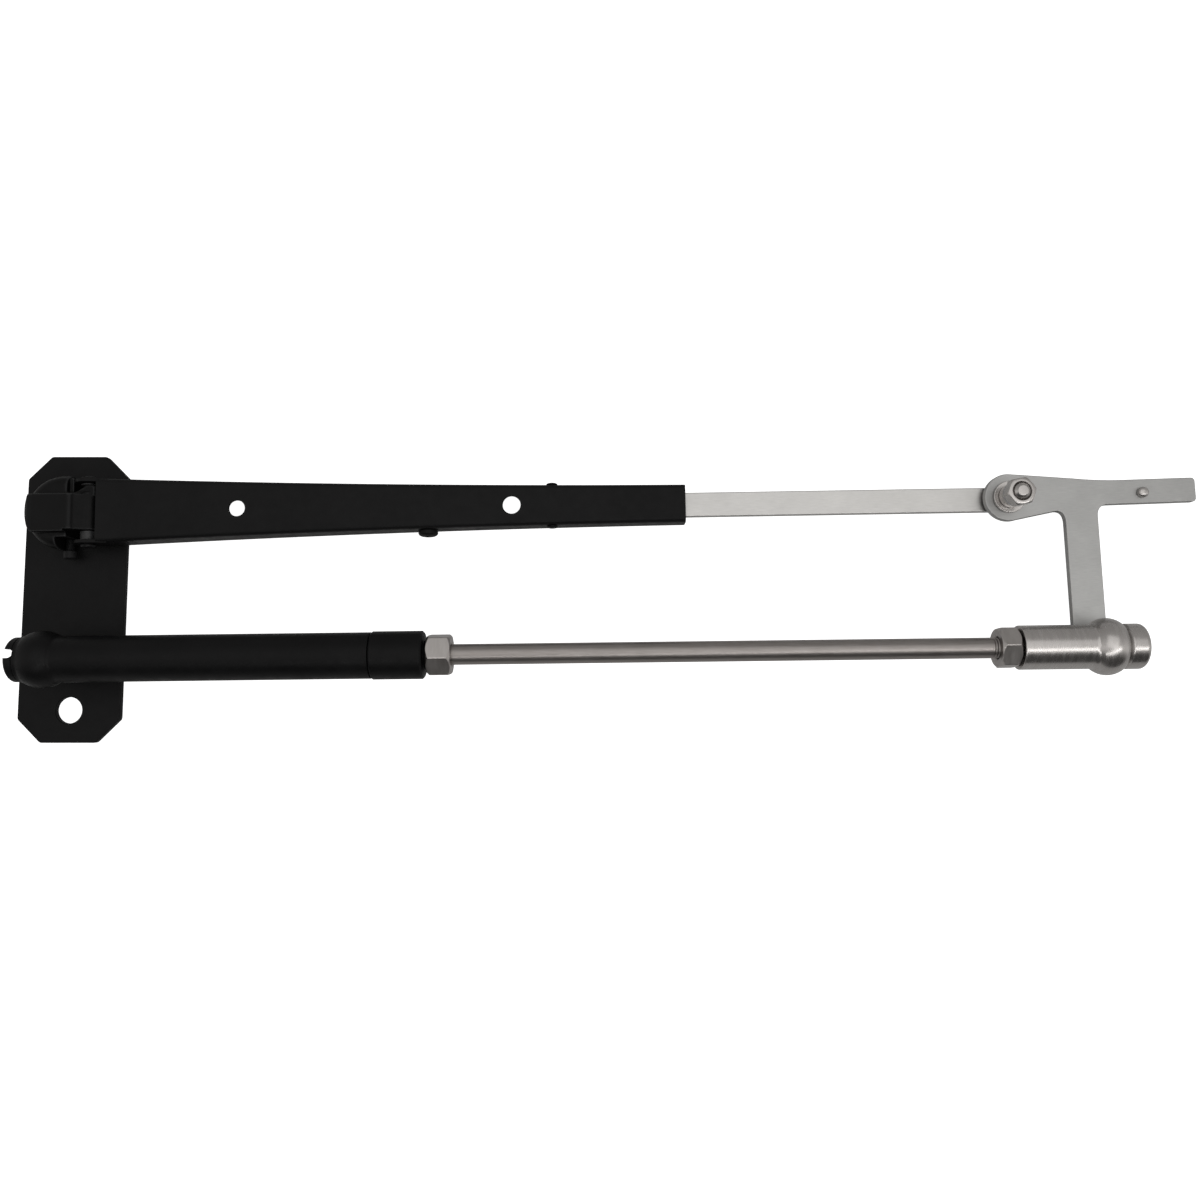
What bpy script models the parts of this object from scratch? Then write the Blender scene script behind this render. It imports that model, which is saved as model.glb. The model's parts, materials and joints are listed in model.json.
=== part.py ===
"""Pantograph wiper arm: a black mounting plate, a spring loaded main arm on a knurled drive
head, an idler arm on ball joints, and the T bracket that carries the wiper blade.

Frame: origin at the centre of the mounting plate's back face, +X along the arms towards the
blade, +Y from the idler arm towards the main arm, +Z out of the mounting face.
Lengths are written in millimetres and scaled to metres by MM.
"""

from math import atan2, cos, degrees, hypot, pi, radians, sin, sqrt

import bmesh
import bpy
from mathutils import Matrix, Vector

MM = 0.001
GAP = 0.3  # clearance kept between two pieces that touch
OVERCUT = 1.0  # how far a cutter runs past the face it opens

# ---------------------------------------------------------------- linkage, seen from the front
DRIVE_AXIS_Y = 32.7
IDLER_BALL_Y = -25.0
BALL_HEIGHT = 23.6
ARM_TILT = radians(0.95)
ARM_LENGTH = 369.6  # drive axis to tip pivot
BRACKET_TILT = radians(2.0)
BRACKET_BALL = (28.1, -60.0)  # ball stud, from the tip pivot, in the bracket's own frame
HINGE_X = 9.5
HINGE_Z = 12.5

# ---------------------------------------------------------------- mounting plate
PLATE_WIDTH = 40.4
PLATE_HEIGHT = 114.3
PLATE_THICK = 3.0
PLATE_CHAMFER = 9.2
SHAFT_HOLE_R = 8.5
FIXING_HOLE_Y = -44.4
FIXING_HOLE_R = 5.2
PLATE_EDGE = 0.4

# ---------------------------------------------------------------- drive head
HEAD_R = 14.6
HEAD_BASE_Z = PLATE_THICK + 0.4
HEAD_RIM_Z = 12.5
HEAD_SHOULDER_R = 10.5
HEAD_SHOULDER_Z = 16.5
BLOCK_TOP_Z = 19.5
BLOCK_LEFT_X = -12.6
BLOCK_FOLD_X = 4.6
BLOCK_RIGHT_X = 11.2
BLOCK_NOSE_Z = 15.6
BLOCK_LOW_Y = -8.2
BLOCK_HIGH_Y = 6.6
KNUCKLE_HALF = 7.3
CHEEK_Y = 10.2
CHEEK_Z = (11.8, 15.9)
KNUCKLE_R = 4.0
KNUCKLE_BASE_Z = 4.2
SIDE_CUT_X = 2.4
RECESS_X = -2.0
RECESS_Y = -10.0
INSERT_R = 6.9
INSERT_TOP_Z = 12.4
INSERT_BORE_R = 5.9
KNURL_DEPTH = 0.35
KNURL_COUNT = 24
SET_SCREW_Z = 7.4
SET_SCREW_R = 1.7
SET_SCREW_HEAD_R = 2.6
HOOK_PIN_X = 9.3
HOOK_PIN_Z = 6.9
HOOK_PIN_R = 1.5
HOOK_PIN_HALF = 10.8

# ---------------------------------------------------------------- main arm channel
CHANNEL_START_X = 14.3
CHANNEL_END_X = 243.0
CHANNEL_WALL = 1.2
CHANNEL_TIP_HALF = 7.5
CHANNEL_LINEAR = 1.0  # growth of the half width towards the root, linear and squared parts
CHANNEL_SQUARED = 4.1
CHANNEL_TOP_Z = (17.8, 12.4)  # outer face of the web, at the root and at the tip
CHANNEL_LIP_Z = (5.4, 3.2)  # free edge of the flanges, at the root and at the tip
CHANNEL_CORNER_R = 1.8
CHANNEL_STATIONS = 8
EAR_R = 5.3
HINGE_PIN_R = 2.0
HINGE_HEAD_R = 3.0
HINGE_HEAD = 1.1
HINGE_BUSH_R = 3.2
WEB_HOLES = ((68.5, 3.15), (174.9, 3.5))  # position along the arm and radius
ANCHOR_X = 141.6
ANCHOR_Z = 9.0
ANCHOR_R = 2.0
ANCHOR_HEAD_R = 3.9
ANCHOR_HEAD = 2.4
RIVET_X = 190.6
RIVET_Z = 10.4
RIVET_R = 1.4
RIVET_HEAD_R = 2.3
RIVET_HEAD = 0.8

# ---------------------------------------------------------------- spring and its yoke
SPRING_R = 3.2  # to the middle of the wire
SPRING_WIRE_R = 0.7
SPRING_START_X = 84.0
SPRING_END_X = 133.0
SPRING_TURNS = 15
HOOK_LOOP_R = 3.1
ANCHOR_SLACK = 1.4
YOKE_WIRE_R = 0.8
YOKE_HOOK_R = 2.9
YOKE_HEAD_Y = 9.3
YOKE_LEG_Y = 6.0
YOKE_BEND_X = 74.0

# ---------------------------------------------------------------- extension bar and its clamp
BAR_HALF = 4.8
BAR_Z = (5.0, 8.0)
BAR_START_X = 181.0
CLAMP_START_X = 186.0
CLAMP_END_X = 241.5
CLAMP_FLOOR_Z = 2.3
CLAMP_SIDE_GAP = 0.3
CLAMP_SCREW_X = (209.0, 229.0)
CLAMP_SCREW_R = 2.3
CLAMP_SCREW_Z = (1.7, BAR_Z[0] - GAP)

# ---------------------------------------------------------------- tip pivot, from back to front
BOLT_HEAD_R = 5.0
BOLT_HEAD_Z = (2.2, BAR_Z[0] - GAP)
BOLT_R = 3.0
BOLT_END_Z = 27.4
SPACER_R = 8.6
SPACER_Z = (BAR_Z[1] + GAP, 9.3)
BRACKET_Z = (9.6, 12.6)
WASHER_R = 6.3
WASHER_Z = (12.9, 14.2)
COLLAR_R = 4.6
COLLAR_Z = (14.5, 19.4)
LOCK_WASHER_R = 5.0
LOCK_WASHER_Z = (19.7, 20.9)
TIP_NUT_AF = 10.0
TIP_NUT_Z = (21.2, 26.2)

# ---------------------------------------------------------------- T bracket
EYE_R = 9.3
EYE_TOP = (1.2, 9.25)
EYE_FOOT = (2.6, -8.9)
STRIP_Y = (-4.2, 5.4)
STRIP_END_X = 73.5
STRIP_CORNER_R = 1.5
STRIP_TAPER_X = 38.0
LEG_X = (21.7, 34.5)
FOOT_LINE_END = (17.2, -6.3)
FILLET_LEFT_Y = -10.9
FILLET_R = 4.4
NIB_X = 52.3
NIB_R = 2.1
NIB_HEIGHT = 2.0

# ---------------------------------------------------------------- ball studs and sockets
IDLER_BALL_R = 5.0
IDLER_NECK_R = 2.6
IDLER_FLANGE_R = 7.6
IDLER_SPACER_R = 8.8
TIP_BALL_R = 4.0
TIP_NECK_R = 2.2
TIP_STUD_R = 2.5
TIP_STUD_HEAD_R = 4.8
TIP_SHOULDER_R = 3.2
LINER_R = (5.3, 6.8)
LINER_HALF = 3.6

# ---------------------------------------------------------------- idler arm, along its own axis
TUBE_R = 8.75
TUBE_BORE_R = 7.1
TUBE_START_X = -7.4
TUBE_END_X = 123.4
BULGE_R = 10.9
BULGE_FLAT_Z = -9.0
NECK_SLOT = (5.8, 3.7)  # half length and half width of the opening round the ball stud
PLUG_START_X = -12.4
PLUG_R = 8.5
PLUG_SLOT_Y = 2.1
PLUG_SLOT_HALF = 1.7
PLUG_SLOT_END_X = -7.5
PLUG_DOME = 1.3
SEAT_R = 6.75
SEAT_INNER_R = 4.3
SEAT_FACE = 5.7  # from the ball's centre to each seat
SEAT_THIN = 0.7
SEAT_THICK = 3.0
IDLER_SPRING_X = (10.4, 24.3)
SPRING_STOP_X = (24.6, 27.0)
COLLAR_START_X = 123.7
COLLAR_END_X = 143.3
TUBE_COLLAR_R = 9.15
SPIGOT_START_X = 108.0
SPIGOT_R = 6.75
NIPPLE_R = 5.7
NIPPLE_END_X = 148.5
ROD_R = 3.95
ROD_START_X = 98.0
ROD_END_X = 375.0
NUT_AF = 14.3
NUT_CHAMFER = 1.3
COMPRESSION_NUT_X = (144.6, 153.7)
COMPRESSION_NUT_TURN = radians(41.0)
LOCK_NUT_X = (358.6, 366.1)
LOCK_NUT_TURN = radians(24.0)
FERRULE_X = (148.9, 152.6)
SOCKET_START_X = 366.7
SOCKET_R = 8.35
SOCKET_BORE_R = 6.3
SOCKET_BORE_X = 376.5
SOCKET_BULGE = (10.9, 8.1)  # largest radius and the radius its outline is drawn with
SOCKET_END_X = 404.9
SOCKET_FLAT_Z = -8.4
KEYHOLE_R = 5.4
KEYHOLE_CENTRES = (-7.0, -1.5)  # ends of the wide opening's middle line, from the ball
KEYHOLE_HALF = 3.5
TIP_CUP_END = -10.0  # from the ball
TIP_CUP_THICK = 3.0
CAP_R = 8.65
CAP_END_X = 413.4
CAP_CORNER = 1.9
CAP_SPIGOT_X = 404.3

SEGMENTS = 24
SMALL_SEGMENTS = 12
SMOOTH_ANGLE = radians(35.0)

drive_axis = Vector((0.0, DRIVE_AXIS_Y, 0.0))
idler_ball = Vector((0.0, IDLER_BALL_Y, BALL_HEIGHT))
tip_pivot = drive_axis + Vector((ARM_LENGTH * cos(ARM_TILT), ARM_LENGTH * sin(ARM_TILT), 0.0))
tip_ball = tip_pivot + Matrix.Rotation(BRACKET_TILT, 3, "Z") @ Vector((*BRACKET_BALL, BALL_HEIGHT))
idler_span = hypot(tip_ball.x - idler_ball.x, tip_ball.y - idler_ball.y)
idler_tilt = atan2(tip_ball.y - idler_ball.y, tip_ball.x - idler_ball.x)
tip_cup_end = idler_span + TIP_CUP_END


# ---------------------------------------------------------------- scene helpers
def clear_scene():
    for thing in list(bpy.data.objects):
        bpy.data.objects.remove(thing, do_unlink=True)


def make_material(name, colour, roughness, metallic):
    material = bpy.data.materials.new(name)
    material.use_nodes = True
    shader = material.node_tree.nodes["Principled BSDF"]
    shader.inputs["Base Color"].default_value = (*colour, 1.0)
    shader.inputs["Roughness"].default_value = roughness
    shader.inputs["Metallic"].default_value = metallic
    return material


def make_empty(name, location, turn=0.0, parent=None):
    """A joint's own frame. The location is in millimetres, in the parent's frame."""
    empty = bpy.data.objects.new(name, None)
    bpy.context.scene.collection.objects.link(empty)
    empty.location = Vector(location) * MM
    empty.rotation_euler = (0.0, 0.0, turn)
    empty.parent = parent
    return empty


def make_object(name, shape):
    """Turns a bmesh in millimetres into an object in metres, with its faces pointing out."""
    bmesh.ops.remove_doubles(shape, verts=shape.verts, dist=1e-5)
    bmesh.ops.recalc_face_normals(shape, faces=shape.faces)
    shape.transform(Matrix.Scale(MM, 4))
    mesh = bpy.data.meshes.new(name)
    shape.to_mesh(mesh)
    shape.free()
    thing = bpy.data.objects.new(name, mesh)
    bpy.context.scene.collection.objects.link(thing)
    return thing


def combine(target, other, operation):
    """Applies an exact Boolean of another object to the target, and removes that object."""
    modifier = target.modifiers.new(operation, "BOOLEAN")
    modifier.operation = operation
    modifier.solver = "EXACT"
    modifier.object = other
    bpy.context.view_layer.update()
    evaluated = target.evaluated_get(bpy.context.evaluated_depsgraph_get())
    result = bpy.data.meshes.new_from_object(evaluated)
    target.modifiers.clear()
    target.data = result
    bpy.data.objects.remove(other, do_unlink=True)
    return target


def cut(target, shape):
    return combine(target, make_object("cutter", shape), "DIFFERENCE")


def join(target, shape):
    return combine(target, make_object("addition", shape), "UNION")


def finish(thing, material, parent, offset=(0.0, 0.0, 0.0)):
    """Gives an object its material, smooth shading and parent. The offset is in millimetres."""
    thing.data.materials.clear()
    thing.data.materials.append(material)
    thing.data.shade_smooth()
    thing.data.set_sharp_from_angle(angle=SMOOTH_ANGLE)
    thing.parent = parent
    thing.location = Vector(offset) * MM
    return thing


# ---------------------------------------------------------------- shape helpers
def oriented(axis, along, across, height):
    """A point from its distance along the axis and its two distances from it."""
    if axis == "X":
        return Vector((along, across, height))
    if axis == "Y":
        return Vector((across, along, height))
    return Vector((across, height, along))


def lathe(profile, axis="Z", segments=SEGMENTS, centre=(0.0, 0.0, 0.0), closed=False):
    """Turns (distance along, radius) points round an axis through centre.

    An open profile starts and ends on the axis; a closed one makes a ring.
    """
    shape = bmesh.new()
    rows = []
    for along, radius in profile:
        count = 1 if radius < 1e-6 else segments
        row = []
        for index in range(count):
            angle = 2.0 * pi * (index + 0.5) / segments
            point = oriented(axis, along, radius * cos(angle), radius * sin(angle))
            row.append(shape.verts.new(point + Vector(centre)))
        rows.append(row)
    pairs = list(zip(rows, rows[1:]))
    if closed:
        pairs.append((rows[-1], rows[0]))
    for first, second in pairs:
        for index in range(segments):
            follow = (index + 1) % segments
            corners = [first[index % len(first)], first[follow % len(first)]]
            corners += [second[follow % len(second)], second[index % len(second)]]
            corners = list(dict.fromkeys(corners))
            if len(corners) > 2:
                shape.faces.new(corners)
    return shape


def cylinder(radius, start, end, axis="Z", centre=(0.0, 0.0, 0.0), segments=SEGMENTS):
    profile = ((start, 0.0), (start, radius), (end, radius), (end, 0.0))
    return lathe(profile, axis, segments, centre)


def washer(inner, outer, start, end, axis="Z", centre=(0.0, 0.0, 0.0), segments=SEGMENTS):
    profile = ((start, inner), (start, outer), (end, outer), (end, inner))
    return lathe(profile, axis, segments, centre, closed=True)


def arc(centre, radius, start, end, steps):
    """Points on an arc in a plane, with angles in degrees and both ends included."""
    points = []
    for step in range(steps + 1):
        angle = radians(start + (end - start) * step / steps)
        points.append((centre[0] + radius * cos(angle), centre[1] + radius * sin(angle)))
    return points


def fillet(corner_start, corner, corner_end, steps):
    """A smooth stretch from one point to another, drawn towards the corner between them."""
    points = []
    for step in range(steps + 1):
        t = step / steps
        weights = ((1.0 - t) ** 2, 2.0 * t * (1.0 - t), t * t)
        triple = (corner_start, corner, corner_end)
        points.append(tuple(sum(w * p[i] for w, p in zip(weights, triple)) for i in (0, 1)))
    return points


def loft(sections):
    """Skins closed loops of points, all of the same count, and caps both ends."""
    shape = bmesh.new()
    loops = [[shape.verts.new(point) for point in section] for section in sections]
    for first, second in zip(loops, loops[1:]):
        for index in range(len(first)):
            follow = (index + 1) % len(first)
            shape.faces.new((first[index], first[follow], second[follow], second[index]))
    shape.faces.new(loops[0])
    shape.faces.new(loops[-1])
    return shape


def prism(outline, start, end, axis="Z", centre=(0.0, 0.0)):
    """Extrudes an outline along an axis. An outline across Y holds (x, z) points."""
    sections = []
    for along in (start, end):
        section = [oriented(axis, along, p[0] + centre[0], p[1] + centre[1]) for p in outline]
        sections.append(section)
    return loft(sections)


def box(low, high):
    outline = ((low[0], low[1]), (high[0], low[1]), (high[0], high[1]), (low[0], high[1]))
    return prism(outline, low[2], high[2])


def sweep(path, radius, sides=6):
    """A round wire along a path, its section carried along without twisting."""
    points = [Vector(point) for point in path]
    count = len(points)
    side = None
    sections = []
    for index, point in enumerate(points):
        ahead = points[min(index + 1, count - 1)] - points[max(index - 1, 0)]
        ahead.normalize()
        if side is None:
            side = ahead.orthogonal()
        side = (side - ahead * side.dot(ahead)).normalized()
        other = ahead.cross(side)
        section = []
        for corner in range(sides):
            angle = 2.0 * pi * corner / sides
            section.append(point + radius * (side * cos(angle) + other * sin(angle)))
        sections.append(section)
    return loft(sections)


def coil(start, end, radius, turns, height, steps=8):
    """The centre line of a coil along X at a given height."""
    path = []
    for step in range(int(turns * steps) + 1):
        share = step / (turns * steps)
        angle = 2.0 * pi * turns * share
        x = start + (end - start) * share
        path.append((x, radius * cos(angle), height + radius * sin(angle)))
    return path


def hexagon(across_flats, turn=0.0):
    radius = across_flats / sqrt(3.0)
    return [(radius * cos(turn + pi * k / 3.0), radius * sin(turn + pi * k / 3.0)) for k in range(6)]


def hex_nut(name, across_flats, start, end, bore, axis, turn, chamfer, centre=(0.0, 0.0, 0.0)):
    """A hexagon with turned, chamfered ends and a plain bore."""
    plane = (centre[1], centre[2]) if axis == "X" else (centre[0], centre[1])
    nut = make_object(name, prism(hexagon(across_flats, turn), start, end, axis, plane))
    corner_r = across_flats / sqrt(3.0) + 0.05
    face_r = across_flats / 2.0 - 0.1
    turned = ((start, 0.0), (start, face_r), (start + chamfer, corner_r))
    turned += ((end - chamfer, corner_r), (end, face_r), (end, 0.0))
    combine(nut, make_object("turned", lathe(turned, axis, 24, centre)), "INTERSECT")
    return cut(nut, cylinder(bore, start - OVERCUT, end + OVERCUT, axis, centre, 20))


# ---------------------------------------------------------------- mounting plate and idler stud
def plate_outline():
    half = PLATE_WIDTH / 2.0
    top = PLATE_HEIGHT / 2.0
    near = half - PLATE_CHAMFER
    far = top - PLATE_CHAMFER
    corners = [(near, top), (half, far), (half, -far), (near, -top)]
    return corners + [(-x, y) for x, y in reversed(corners)]


def inset_outline(outline, amount):
    """The outline shrunk towards its centre by a share of each coordinate."""
    reach_x = max(x for x, _ in outline)
    reach_y = max(y for _, y in outline)
    return [(x * (1.0 - amount / reach_x), y * (1.0 - amount / reach_y)) for x, y in outline]


def make_mount_plate(material):
    outline = plate_outline()
    face = inset_outline(outline, PLATE_EDGE)
    levels = ((outline, 0.0), (outline, PLATE_THICK - PLATE_EDGE), (face, PLATE_THICK))
    plate = make_object("mount_plate", loft([[(x, y, z) for x, y in loop] for loop, z in levels]))
    for y, radius in ((DRIVE_AXIS_Y, SHAFT_HOLE_R), (FIXING_HOLE_Y, FIXING_HOLE_R)):
        cut(plate, cylinder(radius, -OVERCUT, PLATE_THICK + OVERCUT, centre=(0.0, y, 0.0)))
    stud_hole = ((-OVERCUT, 0.0), (-OVERCUT, 5.6), (1.4, 5.6), (1.4, 3.9), (4.0, 3.9), (4.0, 0.0))
    cut(plate, lathe(stud_hole, centre=(0.0, IDLER_BALL_Y, 0.0)))
    return finish(plate, material, None)


def ball_profile(radius, neck):
    """A stud's ball from its neck to its top, as (height, radius) points about its centre."""
    start = degrees(pi - atan2(neck, sqrt(radius**2 - neck**2)))
    return arc((0.0, 0.0), radius, start, 0.0, 6)[:-1] + [(radius, 0.0)]


def make_idler_ball_stud(material):
    """Riveted flush into the plate's back, so that its ball stands out of the front."""
    base = -BALL_HEIGHT
    profile = [(base + 0.2, 0.0), (base + 0.2, 5.2), (base + 1.1, 5.2), (base + 1.1, 3.5)]
    profile += [(base + 6.2, 3.5), (base + 6.2, IDLER_FLANGE_R), (base + 8.4, IDLER_FLANGE_R)]
    profile += [(base + 9.4, IDLER_NECK_R + 0.8), (base + 12.0, IDLER_NECK_R)]
    profile += ball_profile(IDLER_BALL_R, IDLER_NECK_R)
    stud = make_object("idler_ball_stud", lathe(profile, segments=20))
    return finish(stud, material, None, idler_ball)


def make_idler_spacer(material):
    spacer = washer(3.9, IDLER_SPACER_R, PLATE_THICK + GAP, 5.9)
    return finish(make_object("idler_spacer", spacer), material, None, (0.0, IDLER_BALL_Y, 0.0))


# ---------------------------------------------------------------- drive head
def make_drive_head(material, parent):
    dome = ((HEAD_BASE_Z, 0.0), (HEAD_BASE_Z, HEAD_R - 0.8), (HEAD_BASE_Z + 1.2, HEAD_R))
    dome += ((HEAD_RIM_Z - 1.0, HEAD_R), (HEAD_RIM_Z + 1.2, HEAD_R - 0.7))
    dome += ((HEAD_RIM_Z + 2.6, HEAD_R - 2.0), (HEAD_SHOULDER_Z, HEAD_SHOULDER_R))
    dome += ((HEAD_SHOULDER_Z, 0.0),)
    head = make_object("drive_head", lathe(dome))
    cut(head, box((SIDE_CUT_X, -20.0, 0.0), (20.0, 20.0, 30.0)))
    shoulder = [(-2.0, 13.9), (-2.0, 8.0), (SIDE_CUT_X - 0.4, 8.0), (SIDE_CUT_X - 0.4, 13.5)]
    join(head, prism(shoulder, HEAD_BASE_Z, HEAD_RIM_Z + 1.0))
    cut(head, box((RECESS_X, -20.0, 0.0), (20.0, RECESS_Y, 30.0)))
    block = [(BLOCK_LEFT_X + 2.4, HEAD_RIM_Z), (BLOCK_LEFT_X + 0.4, HEAD_RIM_Z + 2.0)]
    block += [(BLOCK_LEFT_X + 1.4, BLOCK_TOP_Z - 1.6), (BLOCK_LEFT_X + 3.4, BLOCK_TOP_Z)]
    block += [(BLOCK_FOLD_X, BLOCK_TOP_Z), (BLOCK_RIGHT_X, BLOCK_NOSE_Z), (BLOCK_RIGHT_X, HEAD_RIM_Z)]
    join(head, prism(block, BLOCK_LOW_Y, BLOCK_HIGH_Y, "Y"))
    knuckle = [(0.0, KNUCKLE_BASE_Z), (HINGE_X + 2.8, KNUCKLE_BASE_Z)]
    knuckle += arc((HINGE_X, HINGE_Z), KNUCKLE_R, -70.0, 80.0, 8)
    knuckle += [(0.0, HINGE_Z + 3.8)]
    join(head, prism(knuckle, -KNUCKLE_HALF, KNUCKLE_HALF, "Y"))
    cut(head, box((SIDE_CUT_X, KNUCKLE_HALF + 0.1, 0.0), (20.0, 20.0, 30.0)))
    cut(head, box((SIDE_CUT_X, -20.0, 0.0), (20.0, -KNUCKLE_HALF - 0.1, 30.0)))
    right = HINGE_X + 3.5
    cheek = [(1.0, 6.0), (1.0, BLOCK_HIGH_Y), (3.0, BLOCK_HIGH_Y + 0.2), (6.0, KNUCKLE_HALF + 0.4)]
    cheek += [(HINGE_X + 0.5, CHEEK_Y), (right - 0.6, CHEEK_Y), (right, CHEEK_Y - 0.6), (right, 6.0)]
    join(head, prism(cheek, *CHEEK_Z))
    cut(head, cylinder(INSERT_R + GAP, 0.0, INSERT_TOP_Z + GAP))
    cut(head, cylinder(HINGE_PIN_R + GAP, -20.0, 20.0, "Y", (HINGE_X, 0.0, HINGE_Z), SMALL_SEGMENTS))
    hook_centre = (HOOK_PIN_X, 0.0, HOOK_PIN_Z)
    cut(head, cylinder(HOOK_PIN_R + GAP, -20.0, 20.0, "Y", hook_centre, SMALL_SEGMENTS))
    screw_centre = (0.0, 0.0, SET_SCREW_Z)
    cut(head, cylinder(SET_SCREW_R + GAP, -20.0, -5.0, "Y", screw_centre, SMALL_SEGMENTS))
    return finish(head, material, parent)


def make_knurled_insert(material, parent):
    """The toothed bush that grips the motor's knurled shaft, open at the back."""
    base = HEAD_BASE_Z + 0.2
    insert = make_object("knurled_insert", cylinder(INSERT_R, base, INSERT_TOP_Z))
    teeth = []
    for tooth in range(KNURL_COUNT):
        for share, radius in ((0.0, INSERT_BORE_R), (0.5, INSERT_BORE_R + KNURL_DEPTH)):
            angle = 2.0 * pi * (tooth + share) / KNURL_COUNT
            teeth.append((radius * cos(angle), radius * sin(angle)))
    cut(insert, prism(teeth, 0.0, INSERT_TOP_Z - 1.2))
    return finish(insert, material, parent)


def make_head_set_screw(material, parent):
    """A socket cap screw across the head, its point on the knurled insert."""
    point = -(INSERT_R + GAP)
    profile = ((-17.6, 0.0), (-17.6, 2.1), (-17.1, SET_SCREW_HEAD_R), (-14.6, SET_SCREW_HEAD_R))
    profile += ((-14.6, SET_SCREW_R), (point - 0.6, SET_SCREW_R), (point, 0.9), (point, 0.0))
    centre = (0.0, 0.0, SET_SCREW_Z)
    screw = make_object("head_set_screw", lathe(profile, "Y", SMALL_SEGMENTS, centre))
    cut(screw, prism(hexagon(2.4), -18.6, -16.0, "Y", (0.0, SET_SCREW_Z)))
    return finish(screw, material, parent)


def make_spring_hook_pin(material, parent):
    half = HOOK_PIN_HALF
    profile = ((-half, 0.0), (-half, 1.1), (0.4 - half, HOOK_PIN_R), (half - 0.4, HOOK_PIN_R))
    profile += ((half, 1.1), (half, 0.0))
    centre = (HOOK_PIN_X, 0.0, HOOK_PIN_Z)
    pin = make_object("spring_hook_pin", lathe(profile, "Y", SMALL_SEGMENTS, centre))
    return finish(pin, material, parent)


# ---------------------------------------------------------------- main arm channel
def channel_share(x):
    return (CHANNEL_END_X - x) / (CHANNEL_END_X - CHANNEL_START_X)


def channel_half(x):
    share = channel_share(x)
    return CHANNEL_TIP_HALF + CHANNEL_LINEAR * share + CHANNEL_SQUARED * share * share


def between(pair, x):
    """A height that runs evenly from its root value to its tip value."""
    share = channel_share(x)
    return pair[0] * share + pair[1] * (1.0 - share)


def channel_section(x):
    half = channel_half(x)
    top = between(CHANNEL_TOP_Z, x)
    lip = between(CHANNEL_LIP_Z, x)
    inner = half - CHANNEL_WALL
    corner = (half - CHANNEL_CORNER_R, top - CHANNEL_CORNER_R)
    outer_arc = arc(corner, CHANNEL_CORNER_R, 0.0, 90.0, 3)
    inner_r = CHANNEL_CORNER_R - CHANNEL_WALL
    inner_arc = arc((inner - inner_r, top - CHANNEL_WALL - inner_r), inner_r, 90.0, 0.0, 2)
    right = [(half, lip)] + outer_arc
    left = [(-y, z) for y, z in reversed(right)]
    inside_left = [(-y, z) for y, z in reversed(inner_arc)]
    inside = [(-inner, lip)] + inside_left + inner_arc + [(inner, lip)]
    return [(x, y, z) for y, z in right + left + inside]


def flange_cutter(radius, x, z):
    return cylinder(radius, -20.0, 20.0, "Y", (x, 0.0, z), SMALL_SEGMENTS)


def make_arm_channel(material, parent, offset):
    length = CHANNEL_END_X - CHANNEL_START_X
    stations = [CHANNEL_START_X + length * k / CHANNEL_STATIONS for k in range(CHANNEL_STATIONS + 1)]
    channel = make_object("arm_channel", loft([channel_section(x) for x in stations]))
    outer = channel_half(CHANNEL_START_X)
    neck = CHANNEL_START_X + 4.0
    ear = [(neck, HINGE_Z + EAR_R - 1.2), (neck, HINGE_Z - EAR_R)]
    ear += [(HINGE_X - x, HINGE_Z - z) for x, z in arc((0.0, 0.0), EAR_R, 90.0, -90.0, 12)]
    for side in (-1.0, 1.0):
        edges = sorted((side * (outer - CHANNEL_WALL), side * (outer - 0.02)))
        join(channel, prism(ear, edges[0], edges[1], "Y"))
    for x, radius in WEB_HOLES:
        cut(channel, cylinder(radius, 0.0, 30.0, centre=(x, 0.0, 0.0)))
    cut(channel, flange_cutter(HINGE_PIN_R + GAP, HINGE_X, HINGE_Z))
    cut(channel, flange_cutter(ANCHOR_R + GAP, ANCHOR_X, ANCHOR_Z))
    cut(channel, flange_cutter(RIVET_R + GAP, RIVET_X, RIVET_Z))
    return finish(channel, material, parent, offset)


def make_hinge_pin(material, parent, offset):
    outer = channel_half(CHANNEL_START_X)
    head = outer + GAP
    profile = ((-head - HINGE_HEAD, 0.0), (-head - HINGE_HEAD, HINGE_HEAD_R - 0.6))
    profile += ((-head - 0.5, HINGE_HEAD_R), (-head, HINGE_HEAD_R), (-head, HINGE_PIN_R))
    profile += ((head + 0.8, HINGE_PIN_R),)
    profile += ((head + 1.2, HINGE_PIN_R - 0.4), (head + 1.2, 0.0))
    centre = (HINGE_X, 0.0, HINGE_Z)
    pin = make_object("hinge_pin", lathe(profile, "Y", SMALL_SEGMENTS, centre))
    return finish(pin, material, parent, offset)


def make_hinge_clip(material, parent, offset):
    start = channel_half(CHANNEL_START_X) + GAP
    centre = (HINGE_X, 0.0, HINGE_Z)
    ring = washer(HINGE_PIN_R + 0.2, HINGE_BUSH_R, start, start + 0.6, "Y", centre, SMALL_SEGMENTS)
    clip = make_object("hinge_clip", ring)
    low = (HINGE_X + 1.0, start - OVERCUT, HINGE_Z - 1.0)
    cut(clip, box(low, (HINGE_X + 5.0, start + 0.6 + OVERCUT, HINGE_Z + 1.0)))
    return finish(clip, material, parent, offset)


def make_hinge_bushes(material, parent, offset):
    """One nylon bush on each side of the head's knuckle."""
    outer = channel_half(CHANNEL_START_X) - CHANNEL_WALL - GAP
    centre = (HINGE_X, 0.0, HINGE_Z)
    lower = ("hinge_bush_lower", -outer, -KNUCKLE_HALF - GAP)
    places = (lower, ("hinge_bush_upper", CHEEK_Y + GAP, outer))
    for name, start, end in places:
        ring = washer(HINGE_PIN_R + 0.2, HINGE_BUSH_R, start, end, "Y", centre, SMALL_SEGMENTS)
        finish(make_object(name, ring), material, parent, offset)


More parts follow.
